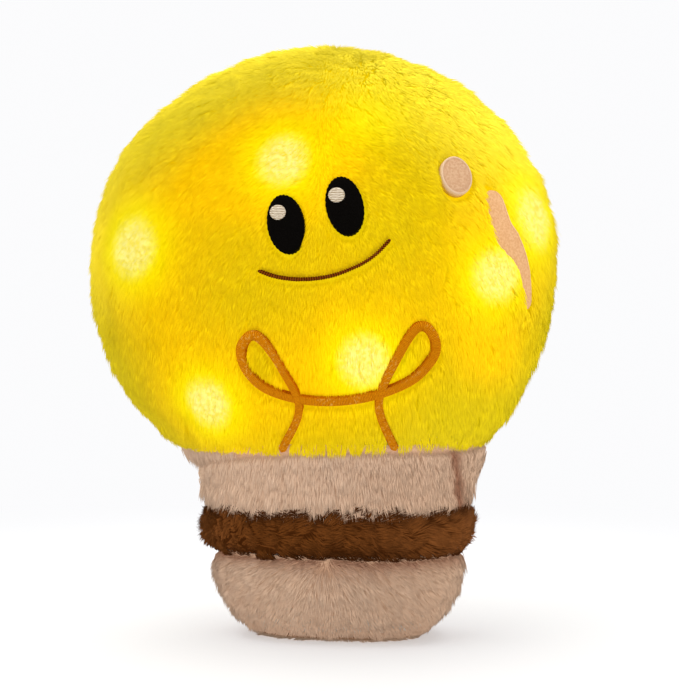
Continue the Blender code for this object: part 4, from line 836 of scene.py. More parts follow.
def clearance(points):
    """Distance of points on the front to the nearest edge of the stitching and patches."""
    side, half = stripe_side(points)
    over_edge = np.where(side < 0, 0.0016, 0.0)
    found = [
        line_distance(points, MOUTH_LINE) - MOUTH_WIDTH / 2,
        line_distance(points, FILAMENT_LINE) - FILAMENT_WIDTHS[0] / 2,
        (np.abs(side) - half + over_edge) * np.where(side < 0, 3.0, 1.0),
        outside_patch(points, DOT, DOT_TURN, DOT_HALF_WIDTH, DOT_HALF_LENGTH),
    ]
    for _, share, turn, _ in EYES:
        found.append(outside_patch(points, share, turn, EYE_HALF_WIDTH, EYE_HALF_HEIGHT))
    return np.min(found, 0)


GLOBE_STRANDS = 200000


def globe_pile():
    """Roots, middles and tips of the globe's pile, with each strand's normal and tuft.

    The flow is downwards along the skin plus a part away from the face, so that the pile fans
    round the face and stands off the rim.
    """
    chance = np.random.default_rng(11)
    root = globe_roots(GLOBE_STRANDS, BACKING_INSET)
    root = root + chance.normal(0, 0.0003, root.shape)
    root = CENTRE + (root - CENTRE) / globe_share(root, BACKING_INSET)[:, None] * 0.9995
    normal = globe_normal(root)
    face = on_skin(0.10, 0.30, 1)[0]
    away = root - face
    far = np.linalg.norm(away, axis=1)[:, None]
    down = flat_part(np.array([0, 0, -1.0]), normal)
    down = down / (np.linalg.norm(down, axis=1)[:, None] + 0.15)
    flow = down + unit(flat_part(away, normal)) * 0.75 * bell(far, 0, 0.10)
    flow = flow + flat_part(np.array([-0.15, -0.45, 0.0]), normal) * rising(root[:, 2:], 0.28, 0.04)
    flow = unit(flow + flat_part(chance.normal(0, 0.06, root.shape), normal))
    calm = bell(far[:, 0], 0, 0.06)
    length = 0.0106 - 0.0015 * calm
    middle, tip, head = comb(
        root, normal, flow, length, 0.88, 0.30, chance, 5200 / GLOBE_STRANDS, 0.13, 0.13 - 0.05 * calm, 0.55
    )
    return root, normal, middle, tip, head, chance


root, normal, middle, tip, head, chance = globe_pile()
width = 0.00058 * (200000 / GLOBE_STRANDS) ** 0.5 * (1 + 0.13 * chance.standard_normal(len(root)))
tone = (chance.random(len(root)) * 0.5 + chance.random(len(root))[head] * 0.5)
front = root[:, 1] < 0
clear_root = np.ones(len(root))
clear_root[front] = clearance((root + normal * BACKING_INSET)[front])
stopped = clear_root < 0.012
middle[stopped], tip[stopped] = cut_short(root[stopped], middle[stopped], tip[stopped])
middle[stopped], tip[stopped] = pressed(middle[stopped]), pressed(tip[stopped])
side, half = stripe_side(root)
width = width * (1 + 0.8 * front * np.exp(-(((side + half + 0.001) / 0.004) ** 2)))
root, middle, tip = (plumped(lumped(banked(points, normal), normal)) for points in (root, middle, tip))
neck_width, neck_depth, neck_round = base_section(np.clip(root[:, 2], NECK_FOOT, NECK_FOOT + NECK_HEIGHT))
in_neck = (np.abs(root[:, 0] - BASE_SHIFT) / (neck_width - 0.004)) ** neck_round
in_neck = in_neck + (np.abs(root[:, 1]) / (neck_depth - 0.004)) ** neck_round < 1
in_neck &= root[:, 2] < NECK_FOOT + NECK_HEIGHT
seam = 0.1115 - 0.0010 * np.clip((np.abs(root[:, 0] - BASE_SHIFT) - 0.02) / 0.05, 0, 1)
lowest = 0.1038 + chance.normal(0, 0.0010, len(root)) + 0.0018 * falling(root[:, 0], 0.03, 0.05)
tip[:, 2] = np.where(root[:, 2] >= seam, np.maximum(tip[:, 2], lowest), tip[:, 2])
flap_top = POCKET_MIDDLE + FLAP_RISE
over_flap = (root[:, 1] > 0.03) & (np.abs(root[:, 0]) < FLAP_HALF_WIDTH + 0.001) & (root[:, 2] >= flap_top)
trim = flap_top - 0.0002 + (lowest - 0.1038) * 0.6
tip[:, 2] = np.where(over_flap, np.maximum(tip[:, 2], trim), tip[:, 2])
middle[:, 2] = np.where(over_flap, np.maximum(middle[:, 2], trim), middle[:, 2])
keep = (clear_root > 0.0003) & ~(in_neck & (root[:, 2] < seam - 0.004))
on_collar = keep & (root[:, 2] < seam) & ~in_neck
keep &= root[:, 2] >= seam
on_flap = (root[:, 1] > 0.03) & (np.abs(root[:, 0]) < FLAP_HALF_WIDTH)
on_flap &= (root[:, 2] < POCKET_MIDDLE + FLAP_RISE) & (root[:, 2] > POCKET_MIDDLE - FLAP_DROP)
front = root[:, 1] < -SEAM
back = (root[:, 1] > SEAM) & ~on_flap
side = ~front & (root[:, 1] <= SEAM)
high = root[:, 2] > GLOBE_MIDDLE
left = root[:, 0] < 0


def shaded(points):
    """Share of shade at points: inside the two stitched loops, and along the flap's outline on the back."""
    left_loop = np.linalg.norm((points - on_skin(-0.150, -0.370, 1)[0]) * np.array([1, 1, 0.62]), axis=1)
    right_loop = np.linalg.norm((points - on_skin(0.480, -0.320, 1)[0]) * np.array([1, 1, 0.62]), axis=1)
    x, z = points[:, 0], points[:, 2] - POCKET_MIDDLE
    outside = np.maximum(np.abs(x) - FLAP_HALF_WIDTH, np.maximum(z - FLAP_RISE, -z - FLAP_DROP))
    loops = np.exp(-((left_loop / 0.0085) ** 4)) + 0.5 * np.exp(-((right_loop / 0.0080) ** 4))
    return np.clip(loops + 0.8 * bell(outside, 0, 0.0016) * (points[:, 1] > 0.03), 0, 1)


def pile_piece(name, chosen, finish, body, slot, *nodes):
    """One piece of pile from the chosen strands, with its glow, painted rim highlight and painted shade stored; part of
    the glow is painted where no light sits.
    """
    made = strands(name, root[chosen], middle[chosen], tip[chosen], normal[chosen], width[chosen], tone[chosen], finish)
    points = np.stack([root[chosen]] + [middle[chosen]] * 3 + [tip[chosen]], 1).reshape(-1, 3)
    warm, halo, heart = root_light(points)
    # Painted glow: a soft halo high on the forehead, where no light sits.
    halo += 0.6 * bell(points[:, 0], 0.034, 0.020) * bell(points[:, 2], 0.283, 0.015) * (points[:, 1] < 0)
    # Painted rim highlight: paler towards the outline, less on the lower right, lower down and on the upper left.
    rim = np.clip((globe_share(points * np.array([1, 0, 1])) - 0.64) / 0.36, 0, 1) ** 1.3
    rim = rim * (1 - 0.7 * rising(points[:, 0], 0.05, 0.05) * falling(points[:, 2], 0.27, 0.04))
    rim = rim * np.clip((points[:, 2] - 0.15) / 0.07, 0.25, 1)
    rim = rim * (1 - 0.35 * falling(points[:, 0], -0.04, 0.05) * rising(points[:, 2], 0.20, 0.04))
    x, y, z = points.T
    # Painted glow: less warmth to the right, more over the upper part and in a spot on the front right, where no light
    # sits.
    warm = warm * (1 - 0.3 * rising(x, 0.02, 0.05))
    share = globe_share(points * np.array([1, 0, 1]))
    high = rising(z, 0.225, 0.04) * falling(share, 0.88, 0.35)
    warm += 0.50 * high * (1 - 0.45 * rising(x, 0.01, 0.03))
    warm += 0.60 * bell(x, 0.101, 0.017) * bell(z, 0.158, 0.022) * (y < 0)
    note(made.data, "warm", warm)
    note(made.data, "halo", halo)
    note(made.data, "heart", heart)
    note(made.data, "rim", rim)
    # Painted shade from the shaded places, and more of it on the globe's right edge.
    note(made.data, "shade", np.clip(shaded(points) + 0.75 * bell(x, 0.125, 0.018) * bell(z, 0.185, 0.030), 0, 1))
    return ride(made, body, slot, *nodes)


for level, part in (("high", high), ("low", ~high)):
    for hand, half in (("left", left), ("right", ~left)):
        pile_piece(
            f"front_pile_{level}_{hand}", keep & front & part & half,
            YELLOW_PILE, "root", "yellow_pile", "globe_front_panel",
        )
        pile_piece(
            f"back_pile_{level}_{hand}", keep & back & part & half,
            YELLOW_PILE, "root", "yellow_pile", "globe_back_panel",
        )
pile_piece("side_pile_left", keep & side & left, YELLOW_PILE, "root", "yellow_pile", "globe_side_gusset")
pile_piece("side_pile_right", keep & side & ~left, YELLOW_PILE, "root", "yellow_pile", "globe_side_gusset")
pile_piece("pocket_flap_pile", keep & on_flap, YELLOW_PILE, "pocket_flap", "yellow_pile", "pocket_flap")
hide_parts("globe_front_panel")
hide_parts("globe_side_gusset")
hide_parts("globe_back_panel")
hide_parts("pocket_flap")


def collar_piece():
    """Tan pile on the globe's lowest part, where the neck's cover is sewn over it."""
    chosen = on_collar
    start, out = root[chosen], normal[chosen]
    hang = unit(np.array([0, 0, -1.0]) - out * np.array([1, 1, 0]) * 0.7 + chance.normal(0, 0.08, out.shape))
    reach = (0.0115 * (1 + 0.14 * chance.standard_normal(len(start))))[:, None]
    bend, end = start + out * 0.0028 + hang * reach * 0.5, start + out * 0.0026 + hang * reach
    made = strands("collar_pile", start, bend, end, out, width[chosen] * 0.9, tone[chosen], TAN_PILE)
    note(made.data, "rim", np.zeros(len(made.data.vertices)))
    note(made.data, "shade", np.zeros(len(made.data.vertices)))
    # Painted light spilled from the globe, even over the collar.
    note(made.data, "painted_spill_light", np.full(len(made.data.vertices), 0.6))
    return ride(made, "root", "tan_pile")


collar_piece()


def base_pile(
    name, low, high, droop, spacing, inset, flow_of, length, rise, fall, width, tuft, pull, stray, finish, seed, slot,
    nodes,
):
    """Pile of one part of the base, combed along the flow that flow_of gives for its points."""
    chance = np.random.default_rng(seed)
    root, normal = base_roots(low, high, spacing, inset, chance)
    seam = 0.1095 - 0.0010 * np.clip((np.abs(root[:, 0] - BASE_SHIFT) - 0.02) / 0.05, 0, 1)
    outside = (globe_share(root, 0.004) > 1) & (root[:, 2] < seam)
    under = np.clip((seam[outside] - root[outside, 2]) / 0.012, 0, 1)
    root, normal = root[outside], normal[outside]
    flow = unit(flat_part(flow_of(root, chance), normal))
    # Painted crease shade; the strands there are also shorter.
    shade = painted_crease_shade(root)
    length = length * (0.42 + 0.58 * np.clip(root[:, 2] / 0.026, 0, 1)) * (1 - 0.35 * shade) * (0.75 + 0.25 * under)
    beside = np.clip((np.abs(root[:, 0] - BASE_SHIFT) - 0.03) / 0.04, 0, 1)
    rise = rise + 0.45 * beside * (1 - np.clip((seam[outside] - root[:, 2]) / 0.028, 0, 1))
    middle, tip, head = comb(root, normal, flow, length, rise, fall, chance, tuft, pull, stray)
    middle, tip = lumped(middle, normal), lumped(tip, normal)
    ragged = chance.normal(0, 0.18, len(root))[head] + chance.normal(0, 0.24, len(root))
    floor = low - droop + 0.0025 * beside + ragged * droop
    tip[:, 2] = np.maximum(tip[:, 2], np.maximum(floor, 0.0006))
    middle[:, 2] = np.maximum(middle[:, 2], 0.0008)
    root = root - normal * 0.0004
    thick = width * (1 + 0.12 * chance.standard_normal(len(root)))
    tone = chance.random(len(root)) * 0.5 + chance.random(len(root))[head] * 0.5
    made = strands(name, root, middle, tip, normal, thick, tone, finish)
    # Painted side light and shade: the right side's tips, and on the band the left side's too, shift to the side
    # colour.
    right = rising(root[:, 0], 0.02, 0.06)
    if finish == BROWN_PILE:
        right += 1.0 * falling(root[:, 0], -0.03, 0.04)
    note(made.data, "rim", np.repeat(right, STRAND_POINTS))
    note(made.data, "shade", np.repeat(shade, STRAND_POINTS))
    # Painted light spilled from the globe onto the top of the neck, more on its left.
    painted_spill_light = rising(root[:, 2], 0.074, 0.012) * np.clip(0.5 - root[:, 0] / 0.09, 0, 1)
    note(made.data, "painted_spill_light", np.repeat(painted_spill_light, STRAND_POINTS))
    return ride(made, "root", slot, *nodes)


def painted_crease_shade(points):
    """Painted shade of the base: in the crease along both edges of the band and up the neck's right front seam, and
    darker towards the cap's left and foot.
    """
    band_top = bell(points[:, 2], NECK_FOOT - 0.0038, 0.0042) * 0.85
    x = points[:, 0]
    band_foot = bell(points[:, 2], CAP_HEIGHT + 0.0005, 0.0036 + 0.0034 * bell(x, 0.022, 0.040)) * 0.85
    seam = bell(points[:, 0], 0.0765, 0.0022) * (points[:, 1] < 0) * (points[:, 2] > NECK_FOOT) * 0.8
    # Painted shade: darker towards the cap's left and foot.
    cap_side_shade = 0.16 * falling(x, -0.015, 0.05) + 0.12 * falling(points[:, 2], 0.022, 0.02)
    return np.clip(band_top + band_foot + seam + cap_side_shade * (points[:, 2] < CAP_HEIGHT), 0, 1)


def straight_down(points, chance):
    """Flow of the neck: down and outwards to the sides, with a little sway."""
    apart = np.clip((points[:, :1] - BASE_SHIFT) / 0.06, -1, 1) * np.array([0.32, 0, 0])
    return np.array([0, 0, -1.0]) + apart + chance.normal(0, 0.07, points.shape)


def sideways(points, chance):
    """Flow of the band: round the toy to the right, waving up and down."""
    run = unit(np.stack([-points[:, 1], points[:, 0] - BASE_SHIFT, np.zeros(len(points))], 1))
    wave = 0.14 + 0.30 * np.sin(points[:, 0] * 170 + points[:, 2] * 90) * np.sin(points[:, 0] * 61 + 1.0)
    wave = wave - 0.55 * np.clip((CAP_HEIGHT + 0.007 - points[:, 2]) / 0.006, 0, 1)
    return run + np.array([0, 0, 1.0]) * wave[:, None] + chance.normal(0, 0.12, points.shape)


def whorl(points, chance):
    """Flow of the cap: away from a whorl high on its front, and down elsewhere."""
    middle = np.array([0.010, -0.05, 0.044])
    away = unit(points - middle)
    down = np.array([0, 0, -1.0])
    front = np.clip(-points[:, 1:2] / 0.03, 0, 1)
    return away * front + down * (1.15 - 0.5 * front) + chance.normal(0, 0.08, points.shape)


base_pile("neck_pile", NECK_FOOT + 0.001, NECK_FOOT + 0.05, 0.0065, 0.00084, 0.0052, straight_down,
          0.0125, 0.56, 0.04, 0.00053,
          0.05, 0.12, 0.07, TAN_PILE, 21, "tan_pile",
          ("neck_front_panel", "neck_back_panel", "neck_gusset_left", "neck_gusset_right"))
base_pile("band_pile", CAP_HEIGHT + 0.001, NECK_FOOT - 0.001, 0.0026, 0.00090, 0.0065, sideways,
          0.0120, 0.80, 0.28, 0.00062,
          0.03, 0.32, 0.32, BROWN_PILE, 22, "brown_pile", ("thread_band",))
base_pile("cap_pile", 0.0035, CAP_HEIGHT - 0.001, 0.0050, 0.00088, 0.0052, whorl, 0.0108, 0.60, 0.14, 0.00054,
          0.05, 0.12, 0.12, TAN_PILE, 23, "tan_pile", ("base_cap",))
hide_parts("neck_front_panel", "neck_back_panel", "neck_gusset_left", "neck_gusset_right")
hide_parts("thread_band")
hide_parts("base_cap")


# Filling, sole, pocket cloth and strips
def lined_copy(name, node):
    """Copy of a solid's mesh as a piece of its own, with its doubled points merged."""
    made = bpy.data.objects.new(name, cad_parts[node].data.copy())
    bpy.context.scene.collection.objects.link(made)
    return outward(made)


def filling(name, node, voxel, depth, seed):
    """Lumpy filling in a solid's space: remeshed, then drawn in by a sum of sines along its normals."""
    made = lined_copy(name, node)
    remesh = made.modifiers.new("Even", "REMESH")
    remesh.mode = "VOXEL"
    remesh.voxel_size = voxel
    smooth = made.modifiers.new("Soft", "SMOOTH")
    smooth.iterations = 3
    mesh = bpy.data.meshes.new_from_object(made.evaluated_get(bpy.context.evaluated_depsgraph_get()))
    made.modifiers.clear()
    made.data = mesh
    count = len(mesh.vertices)
    points, normals = np.empty(count * 3, np.float32), np.empty(count * 3, np.float32)
    mesh.vertices.foreach_get("co", points)
    mesh.vertex_normals.foreach_get("vector", normals)
    points, normals = points.reshape(-1, 3), normals.reshape(-1, 3)
    chance = np.random.default_rng(seed)
    waves = chance.normal(0, 150, (12, 3))
    lumps = np.sin(points @ waves.T + chance.uniform(0, 2 * math.pi, 12)).mean(1)
    drawn = depth * (0.5 + np.clip(lumps, -0.5, 0.5))
    mesh.vertices.foreach_set("co", (points - normals * drawn[:, None]).ravel())
    mesh.polygons.foreach_set("use_smooth", np.ones(len(mesh.polygons), bool))
    mesh.materials.clear()
    mesh.materials.append(FILLING.material)
    mesh.update()
    return ride(made, "root", "stuffing_fibre", node)


def filling_finish():
    """Polyester filling: near white, with painted grey shade in its hollows and fine curled fibres."""
    finish = Finish("polyester_filling", {"Roughness": 1.0, "Sheen Weight": 0.2})
    tufts, curls = finish.noise(90.0, 4.0), finish.noise(1400.0, 3.0)
    height = tufts * 0.7 + curls * 0.3
    finish.feed(Base_Color=finish.blend(finish.ramp(height, 0.35, 0.65), tint(216, 214, 206), tint(242, 241, 236)))
    return finish.bump(height, 0.0012, 0.8)


FILLING = filling_finish()
filling("globe_filling", "globe_stuffing", 0.0030, 0.0014, 31)
filling("base_filling", "base_stuffing", 0.0025, 0.0012, 32)


def sole_outline(turn, inset):
    """Points round the sole's outline drawn in by inset, as offsets across and back."""
    across, along = np.cos(turn), np.sin(turn)
    reach = round_reach(across, along, BASE_FULLNESS)
    return (SOLE_HALF_WIDTH - inset) * across * reach, (SOLE_HALF_DEPTH - inset) * along * reach


def sole_cloth():
    """Flat sole with a rolled edge: rings from the underside's middle out, round the edge and back in above."""
    turns = round_turns(96)
    insets = np.array([0.0245, 0.018, 0.010, 0.004, 0.0012, 0.0003, 0.0003, 0.0012, 0.004, 0.0245])
    heights = np.array([0.0010, 0.0010, 0.0010, 0.0010, 0.0011, 0.0015, 0.0021, 0.0026, 0.0028, 0.0028])
    rings = [np.stack([*sole_outline(turns, inset), np.full(96, height)], 1) for inset, height in zip(insets, heights)]
    grid = np.array(rings) + np.array([BASE_SHIFT, 0, 0])
    grid[0], grid[-1] = grid[0].mean(0), grid[-1].mean(0)
    return grid_shell("sole_cloth", grid, TAN_CLOTH)


def sole_pile():
    """Short pile under the sole, pressed flat and combed out from its middle."""
    chance = np.random.default_rng(33)
    place = chance.uniform(-1, 1, (9000, 2)) * [SOLE_HALF_WIDTH, SOLE_HALF_DEPTH]
    share = (np.abs(place) / [SOLE_HALF_WIDTH, SOLE_HALF_DEPTH]) ** BASE_FULLNESS
    place = place[share.sum(1) < 0.97]
    root = np.column_stack([place[:, 0] + BASE_SHIFT, place[:, 1], np.full(len(place), 0.0012)])
    normal = np.broadcast_to([0.0, 0.0, -1.0], root.shape)
    flow = unit(np.column_stack([place, np.zeros(len(place))]) + chance.normal(0, 0.006, root.shape) * [1, 1, 0])
    middle, tip, head = comb(root, normal, flow, np.full(len(root), 0.0048), 0.12, 0.0, chance, 0.05, 0.2, 0.2)
    for points in (middle, tip):
        points[:, 2] = np.clip(points[:, 2], 0.0005, 0.0011)
    tone = chance.random(len(root))
    made = strands("sole_pile", root, middle, tip, normal, np.full(len(root), 0.00055), tone, TAN_PILE)
    for label in ("rim", "shade"):
        note(made.data, label, np.zeros(len(made.data.vertices)))
    return ride(made, "root", "tan_pile", "base_sole")


ride(sole_cloth(), "root", "tan_pile", "base_sole")
sole_pile()

# Pocket lining
TRAY_HALF_WIDTH = 0.0460
TRAY_SQUARENESS = 9
TRAY_TOP = 0.0400
TRAY_FOOT = -0.0500
MOUTH_HALF_WIDTH = 0.0365
MOUTH_TOP = 0.0312
MOUTH_FOOT = -0.0285
LINER_INSET = 0.0089
LINER_THICKNESS = 0.0012
POUCH_BACK = 0.0503


def tray_ring(share, turns):
    """Rounded rectangle between the pouch's mouth, share 0, and the tray's edge, share 1."""
    half = MOUTH_HALF_WIDTH + (TRAY_HALF_WIDTH - MOUTH_HALF_WIDTH) * share
    top = MOUTH_TOP + (TRAY_TOP - MOUTH_TOP) * share
    foot = MOUTH_FOOT + (TRAY_FOOT - MOUTH_FOOT) * share
    across, up = np.cos(turns), np.sin(turns)
    reach = round_reach(across, up, TRAY_SQUARENESS)
    return across * reach * half, POCKET_MIDDLE + (top + foot) / 2 + up * reach * (top - foot) / 2


def back_depth(x, z, inset):
    """Backward distance of the globe's outline, drawn in by inset, at places seen from behind."""
    share = np.hypot(x, z - GLOBE_MIDDLE) / (GLOBE_RADIUS - inset)
    return (GLOBE_DEPTH - inset) * np.clip(1 - share**GLOBE_FULLNESS, 0, 1) ** (1 / GLOBE_FULLNESS)


def pocket_lining():
    """Cloth of the pocket: a tray under the flap, and a pouch whose walls go in from its mouth.

    Rings run from the tray's edge to the mouth, down the walls with two soft waves, and in over
    the back; the same rings drawn back by the cloth's thickness close it.
    """
    turns = round_turns(240)
    outer = []
    for share in (1.0, 0.75, 0.5, 0.25, 0.06):
        x, z = tray_ring(share, turns)
        outer.append(np.stack([x, back_depth(x, z, LINER_INSET), z], 1))
    mouth_x, mouth_z = tray_ring(0.0, turns)
    front = back_depth(mouth_x, mouth_z, LINER_INSET)
    for share in (0.04, 0.15, 0.35, 0.55, 0.75, 0.92):
        slack = 0.0004 * np.sin(share * math.pi) * np.sin(turns * 11 + share * 5)
        x = mouth_x * (1 + slack / MOUTH_HALF_WIDTH)
        z = mouth_z + (mouth_z - POCKET_MIDDLE) * slack / MOUTH_TOP
        outer.append(np.stack([x, front + (POUCH_BACK + LINER_THICKNESS - front) * share, z], 1))
    for share in (0.98, 0.9, 0.6, 0.3, 0.0):
        centre = POCKET_MIDDLE + (MOUTH_TOP + MOUTH_FOOT) / 2
        x, z = mouth_x * share, centre + (mouth_z - centre) * share
        outer.append(np.stack([x, np.full(240, POUCH_BACK + LINER_THICKNESS), z], 1))
    outer = np.array(outer)
    run = np.gradient(outer, axis=0)
    side = np.roll(outer, -1, 1) - np.roll(outer, 1, 1)
    side[-1] = side[-2]
    normal = unit(np.cross(run, side))
    inner = outer + normal * LINER_THICKNESS
    inner[-1] = inner[-1].mean(0)
    return outer, inner


LINING = cloth_finish("liner_cloth", tint(236, 204, 44), tint(214, 180, 20), 1400.0)
lining_outer, lining_inner = pocket_lining()
lining = grid_shell("pocket_lining", np.concatenate([lining_outer, lining_inner[::-1]]), LINING, closed_rows=True)
ride(lining, "root", "liner_cloth", "pocket_liner")


def strip_finish():
    """Woven nylon tape: a fine over-and-under weave in two pale tones."""
    finish = Finish("strip_nylon", {"Roughness": 0.8, "Specular IOR Level": 0.3})
    place = finish.node("ShaderNodeSeparateXYZ", {}, {0: finish.place()}, "X")
    rise = finish.node("ShaderNodeSeparateXYZ", {}, {0: finish.place()}, "Z")
    weave = (place * 9000).sine() * (rise * 9000).sine() * 0.5 + 0.5
    finish.feed(Base_Color=finish.blend(weave, tint(214, 208, 192), tint(238, 234, 224)))
    return finish.bump(weave, 0.0002, 0.6)


def fibre_finish():
    """Nylon hooks and loops, paler at their tips."""
    finish = Finish("strip_fibres", {"Roughness": 0.7, "Specular IOR Level": 0.3})
    tips = finish.blend(finish.attribute("along"), tint(216, 210, 196), tint(244, 241, 232))
    finish.feed(Base_Color=finish.blend(finish.attribute("tone") * 0.4, tips, tint(230, 224, 208)))
    return finish


STRIP_TAPE = strip_finish()
STRIP_FIBRES = fibre_finish()
STRIP_HALF_WIDTH = 0.0320
STRIP_HALF_HEIGHT = 0.0060
STRIP_SQUARENESS = 12
STRIP_MIDDLE = POCKET_MIDDLE - 0.0388
HOOK_INSET = 0.0063
LOOP_INSET = 0.0076
STRIP_THICKNESS = 0.0010


TAPE_RINGS = (
    *((share, 0.0) for share in (0, 0.08, 0.16, 0.24, 0.32, 0.4, 0.48, 0.56, 0.64, 0.72, 0.8, 0.88, 0.95)),
    (0.99, 0.1), (1, 0.3), (1, 0.7), (0.99, 0.9),
    *((share, 1.0) for share in (0.95, 0.88, 0.8, 0.72, 0.64, 0.56, 0.48, 0.4, 0.32, 0.24, 0.16, 0.08, 0)),
)


def strip_tape(name, inset):
    """Tape that follows the globe at an inset: rings of a rounded rectangle over its outer and inner face."""
    turns = round_turns(144)
    across, up = np.cos(turns), np.sin(turns)
    reach = round_reach(across, up, STRIP_SQUARENESS)
    rings = []
    for share, sunk in TAPE_RINGS:
        x = across * reach * STRIP_HALF_WIDTH * share
        z = STRIP_MIDDLE + up * reach * STRIP_HALF_HEIGHT * share
        rings.append(np.stack([x, back_depth(x, z, inset + STRIP_THICKNESS * (0.1 + 0.8 * sunk)), z], 1))
    return grid_shell(name, np.array(rings), STRIP_TAPE)


def strip_fibres(name, inset, outward_side, pitch, length, rise, fall, seed):
    """Rows of short bent fibres on one face of a tape: hooks in even rows, or loops thrown about."""
    chance = np.random.default_rng(seed)
    x, z = np.meshgrid(np.arange(-0.0305, 0.0306, pitch), np.arange(-0.0050, 0.0051, pitch))
    x = x.ravel() + chance.normal(0, pitch * 0.12, x.size)
    z = STRIP_MIDDLE + z.ravel() + chance.normal(0, pitch * 0.12, x.size)
    root = np.stack([x, back_depth(x, z, inset), z], 1)
    normal = globe_normal(root) * outward_side
    flow = unit(flat_part(chance.normal(0, 1, root.shape) * [1, 0.2, 1], normal))
    middle, tip, _ = comb(root, normal, flow, np.full(len(root), length), rise, fall, chance, 0.5, 0.0, 0.2)
    width, tone = np.full(len(root), 0.00024), chance.random(len(root))
    return strands(name, root, middle, tip, normal, width, tone, STRIP_FIBRES)


ride(strip_tape("hook_tape", HOOK_INSET), "pocket_flap", "strip_nylon", "flap_hook_strip")
ride(
    strip_fibres("hook_rows", HOOK_INSET + STRIP_THICKNESS * 0.9, -1, 0.0013, 0.0009, 0.5, -0.9, 41),
    "pocket_flap", "strip_nylon", "flap_hook_strip",
)
ride(strip_tape("loop_tape", LOOP_INSET), "root", "strip_nylon", "pocket_loop_strip")
ride(
    strip_fibres("loop_fuzz", LOOP_INSET + STRIP_THICKNESS * 0.1, 1, 0.0007, 0.0010, 0.5, -0.6, 42),
    "root", "strip_nylon", "pocket_loop_strip",
)


# Stitched and sewn details
def satin(name, low, high, roughness, stitch, fleck=0.0):
    """Satin stitch: fine threads across the piece's run, lighter on their backs as a painted highlight, with a share of
    pale flecks.
    """
    finish = Finish(name, {"Roughness": roughness, "Specular IOR Level": 0.03})
    rough = finish.noise(700.0, 2.0)
    along = finish.attribute("run") + rough * 0.0009
    wave = (along * stitch).sine() * 0.5 + 0.5
    height = wave * 0.7 + rough * 0.5
    patches = finish.ramp(finish.noise(55.0, 1.0), 0.44, 0.56)
    specks = finish.ramp(finish.noise(900.0, 2.0), 0.56, 0.66) * patches * fleck
    colour = finish.blend(finish.ramp(height, 0.2, 1.0), low, high)
    finish.feed(Base_Color=finish.blend(specks, colour, tint(255, 208, 104)))
    return finish.bump(height, 0.00035, 0.8)


BLACK_THREAD = satin("black_thread", tint(3, 2, 1), tint(9, 6, 4), 0.8, 2 * math.pi / 0.0006)
PALE_THREAD = satin("pale_thread", tint(162, 134, 98), tint(246, 234, 212), 0.7, 2 * math.pi / 0.0009)
MOUTH_THREAD = satin("red_brown_thread", tint(62, 18, 0), tint(136, 64, 6), 0.7, 2 * math.pi / 0.0013, 0.05)
ORANGE_THREAD = satin("orange_thread", tint(194, 106, 1), tint(232, 148, 8), 0.7, 2 * math.pi / 0.0008, 0.42)
DOMED = ((0.0, 1.0), (0.3, 0.98), (0.55, 0.93), (0.75, 0.85), (0.88, 0.74), (0.96, 0.55), (1.0, 0.3), (1.0, 0.0))
FELTED = (
    (0.0, 1.0), (0.35, 1.0), (0.6, 0.98), (0.78, 0.94), (0.83, 0.84), (0.88, 0.84), (0.92, 0.92), (0.96, 0.88),
    (0.99, 0.6), (1.0, 0.0),
)


def felt_marks(share):
    """Marks of a felt patch by the share of its half width: the sewn groove, and the raised edge."""
    return {"groove": bell(share, 0.86, 0.035), "edge": rising(share, 0.88, 0.05)}


def stitched_oval(
    name, share, turn, half_width, half_height, proud, sunk, finish, lift=0.0, profile=DOMED, ragged=0.0
):
    """Oval patch: rings at the profile's shares of the half sizes and of the height, over a straight skirt.

    Its rings may be ragged by small waves, as the ends of stitches are.
    """
    middle, right, up, normal = patch_frame(share, turn)
    rings, heights = np.array(profile).T
    ring = np.concatenate([rings, [1.0, 0.0]])
    height = np.concatenate([heights * proud, [-sunk, -sunk]]) + lift
    turns = round_turns(96)
    reach = ring[:, None] * (1 + ragged * np.sin(turns * 32) * (ring[:, None] > 0.9))
    across = reach * np.cos(turns) * half_width
    along = reach * np.sin(turns) * half_height
    grid = middle + across[..., None] * right + along[..., None] * up + height[:, None, None] * normal
    marks = {label: values[:, None] for label, values in felt_marks(ring).items()}
    return grid_shell(name, plumped(grid), finish, run=along, **marks)


for label, share, turn, glint in EYES:
    eye = stitched_oval(
        f"stitched_eye_{label}", share, turn, EYE_HALF_WIDTH, EYE_HALF_HEIGHT, 0.0014, 0.0045, BLACK_THREAD,
        ragged=0.014,
    )
    ride(eye, "root", "black_thread", f"eye_{label}")
    shine = stitched_oval(
        f"stitched_glint_{label}", glint, 0, GLINT_HALF_WIDTH, GLINT_HALF_HEIGHT, 0.0008, 0.0003, PALE_THREAD,
        lift=0.0013, ragged=0.03,
    )
    ride(shine, "root", "pale_thread", f"eye_glint_{label}")


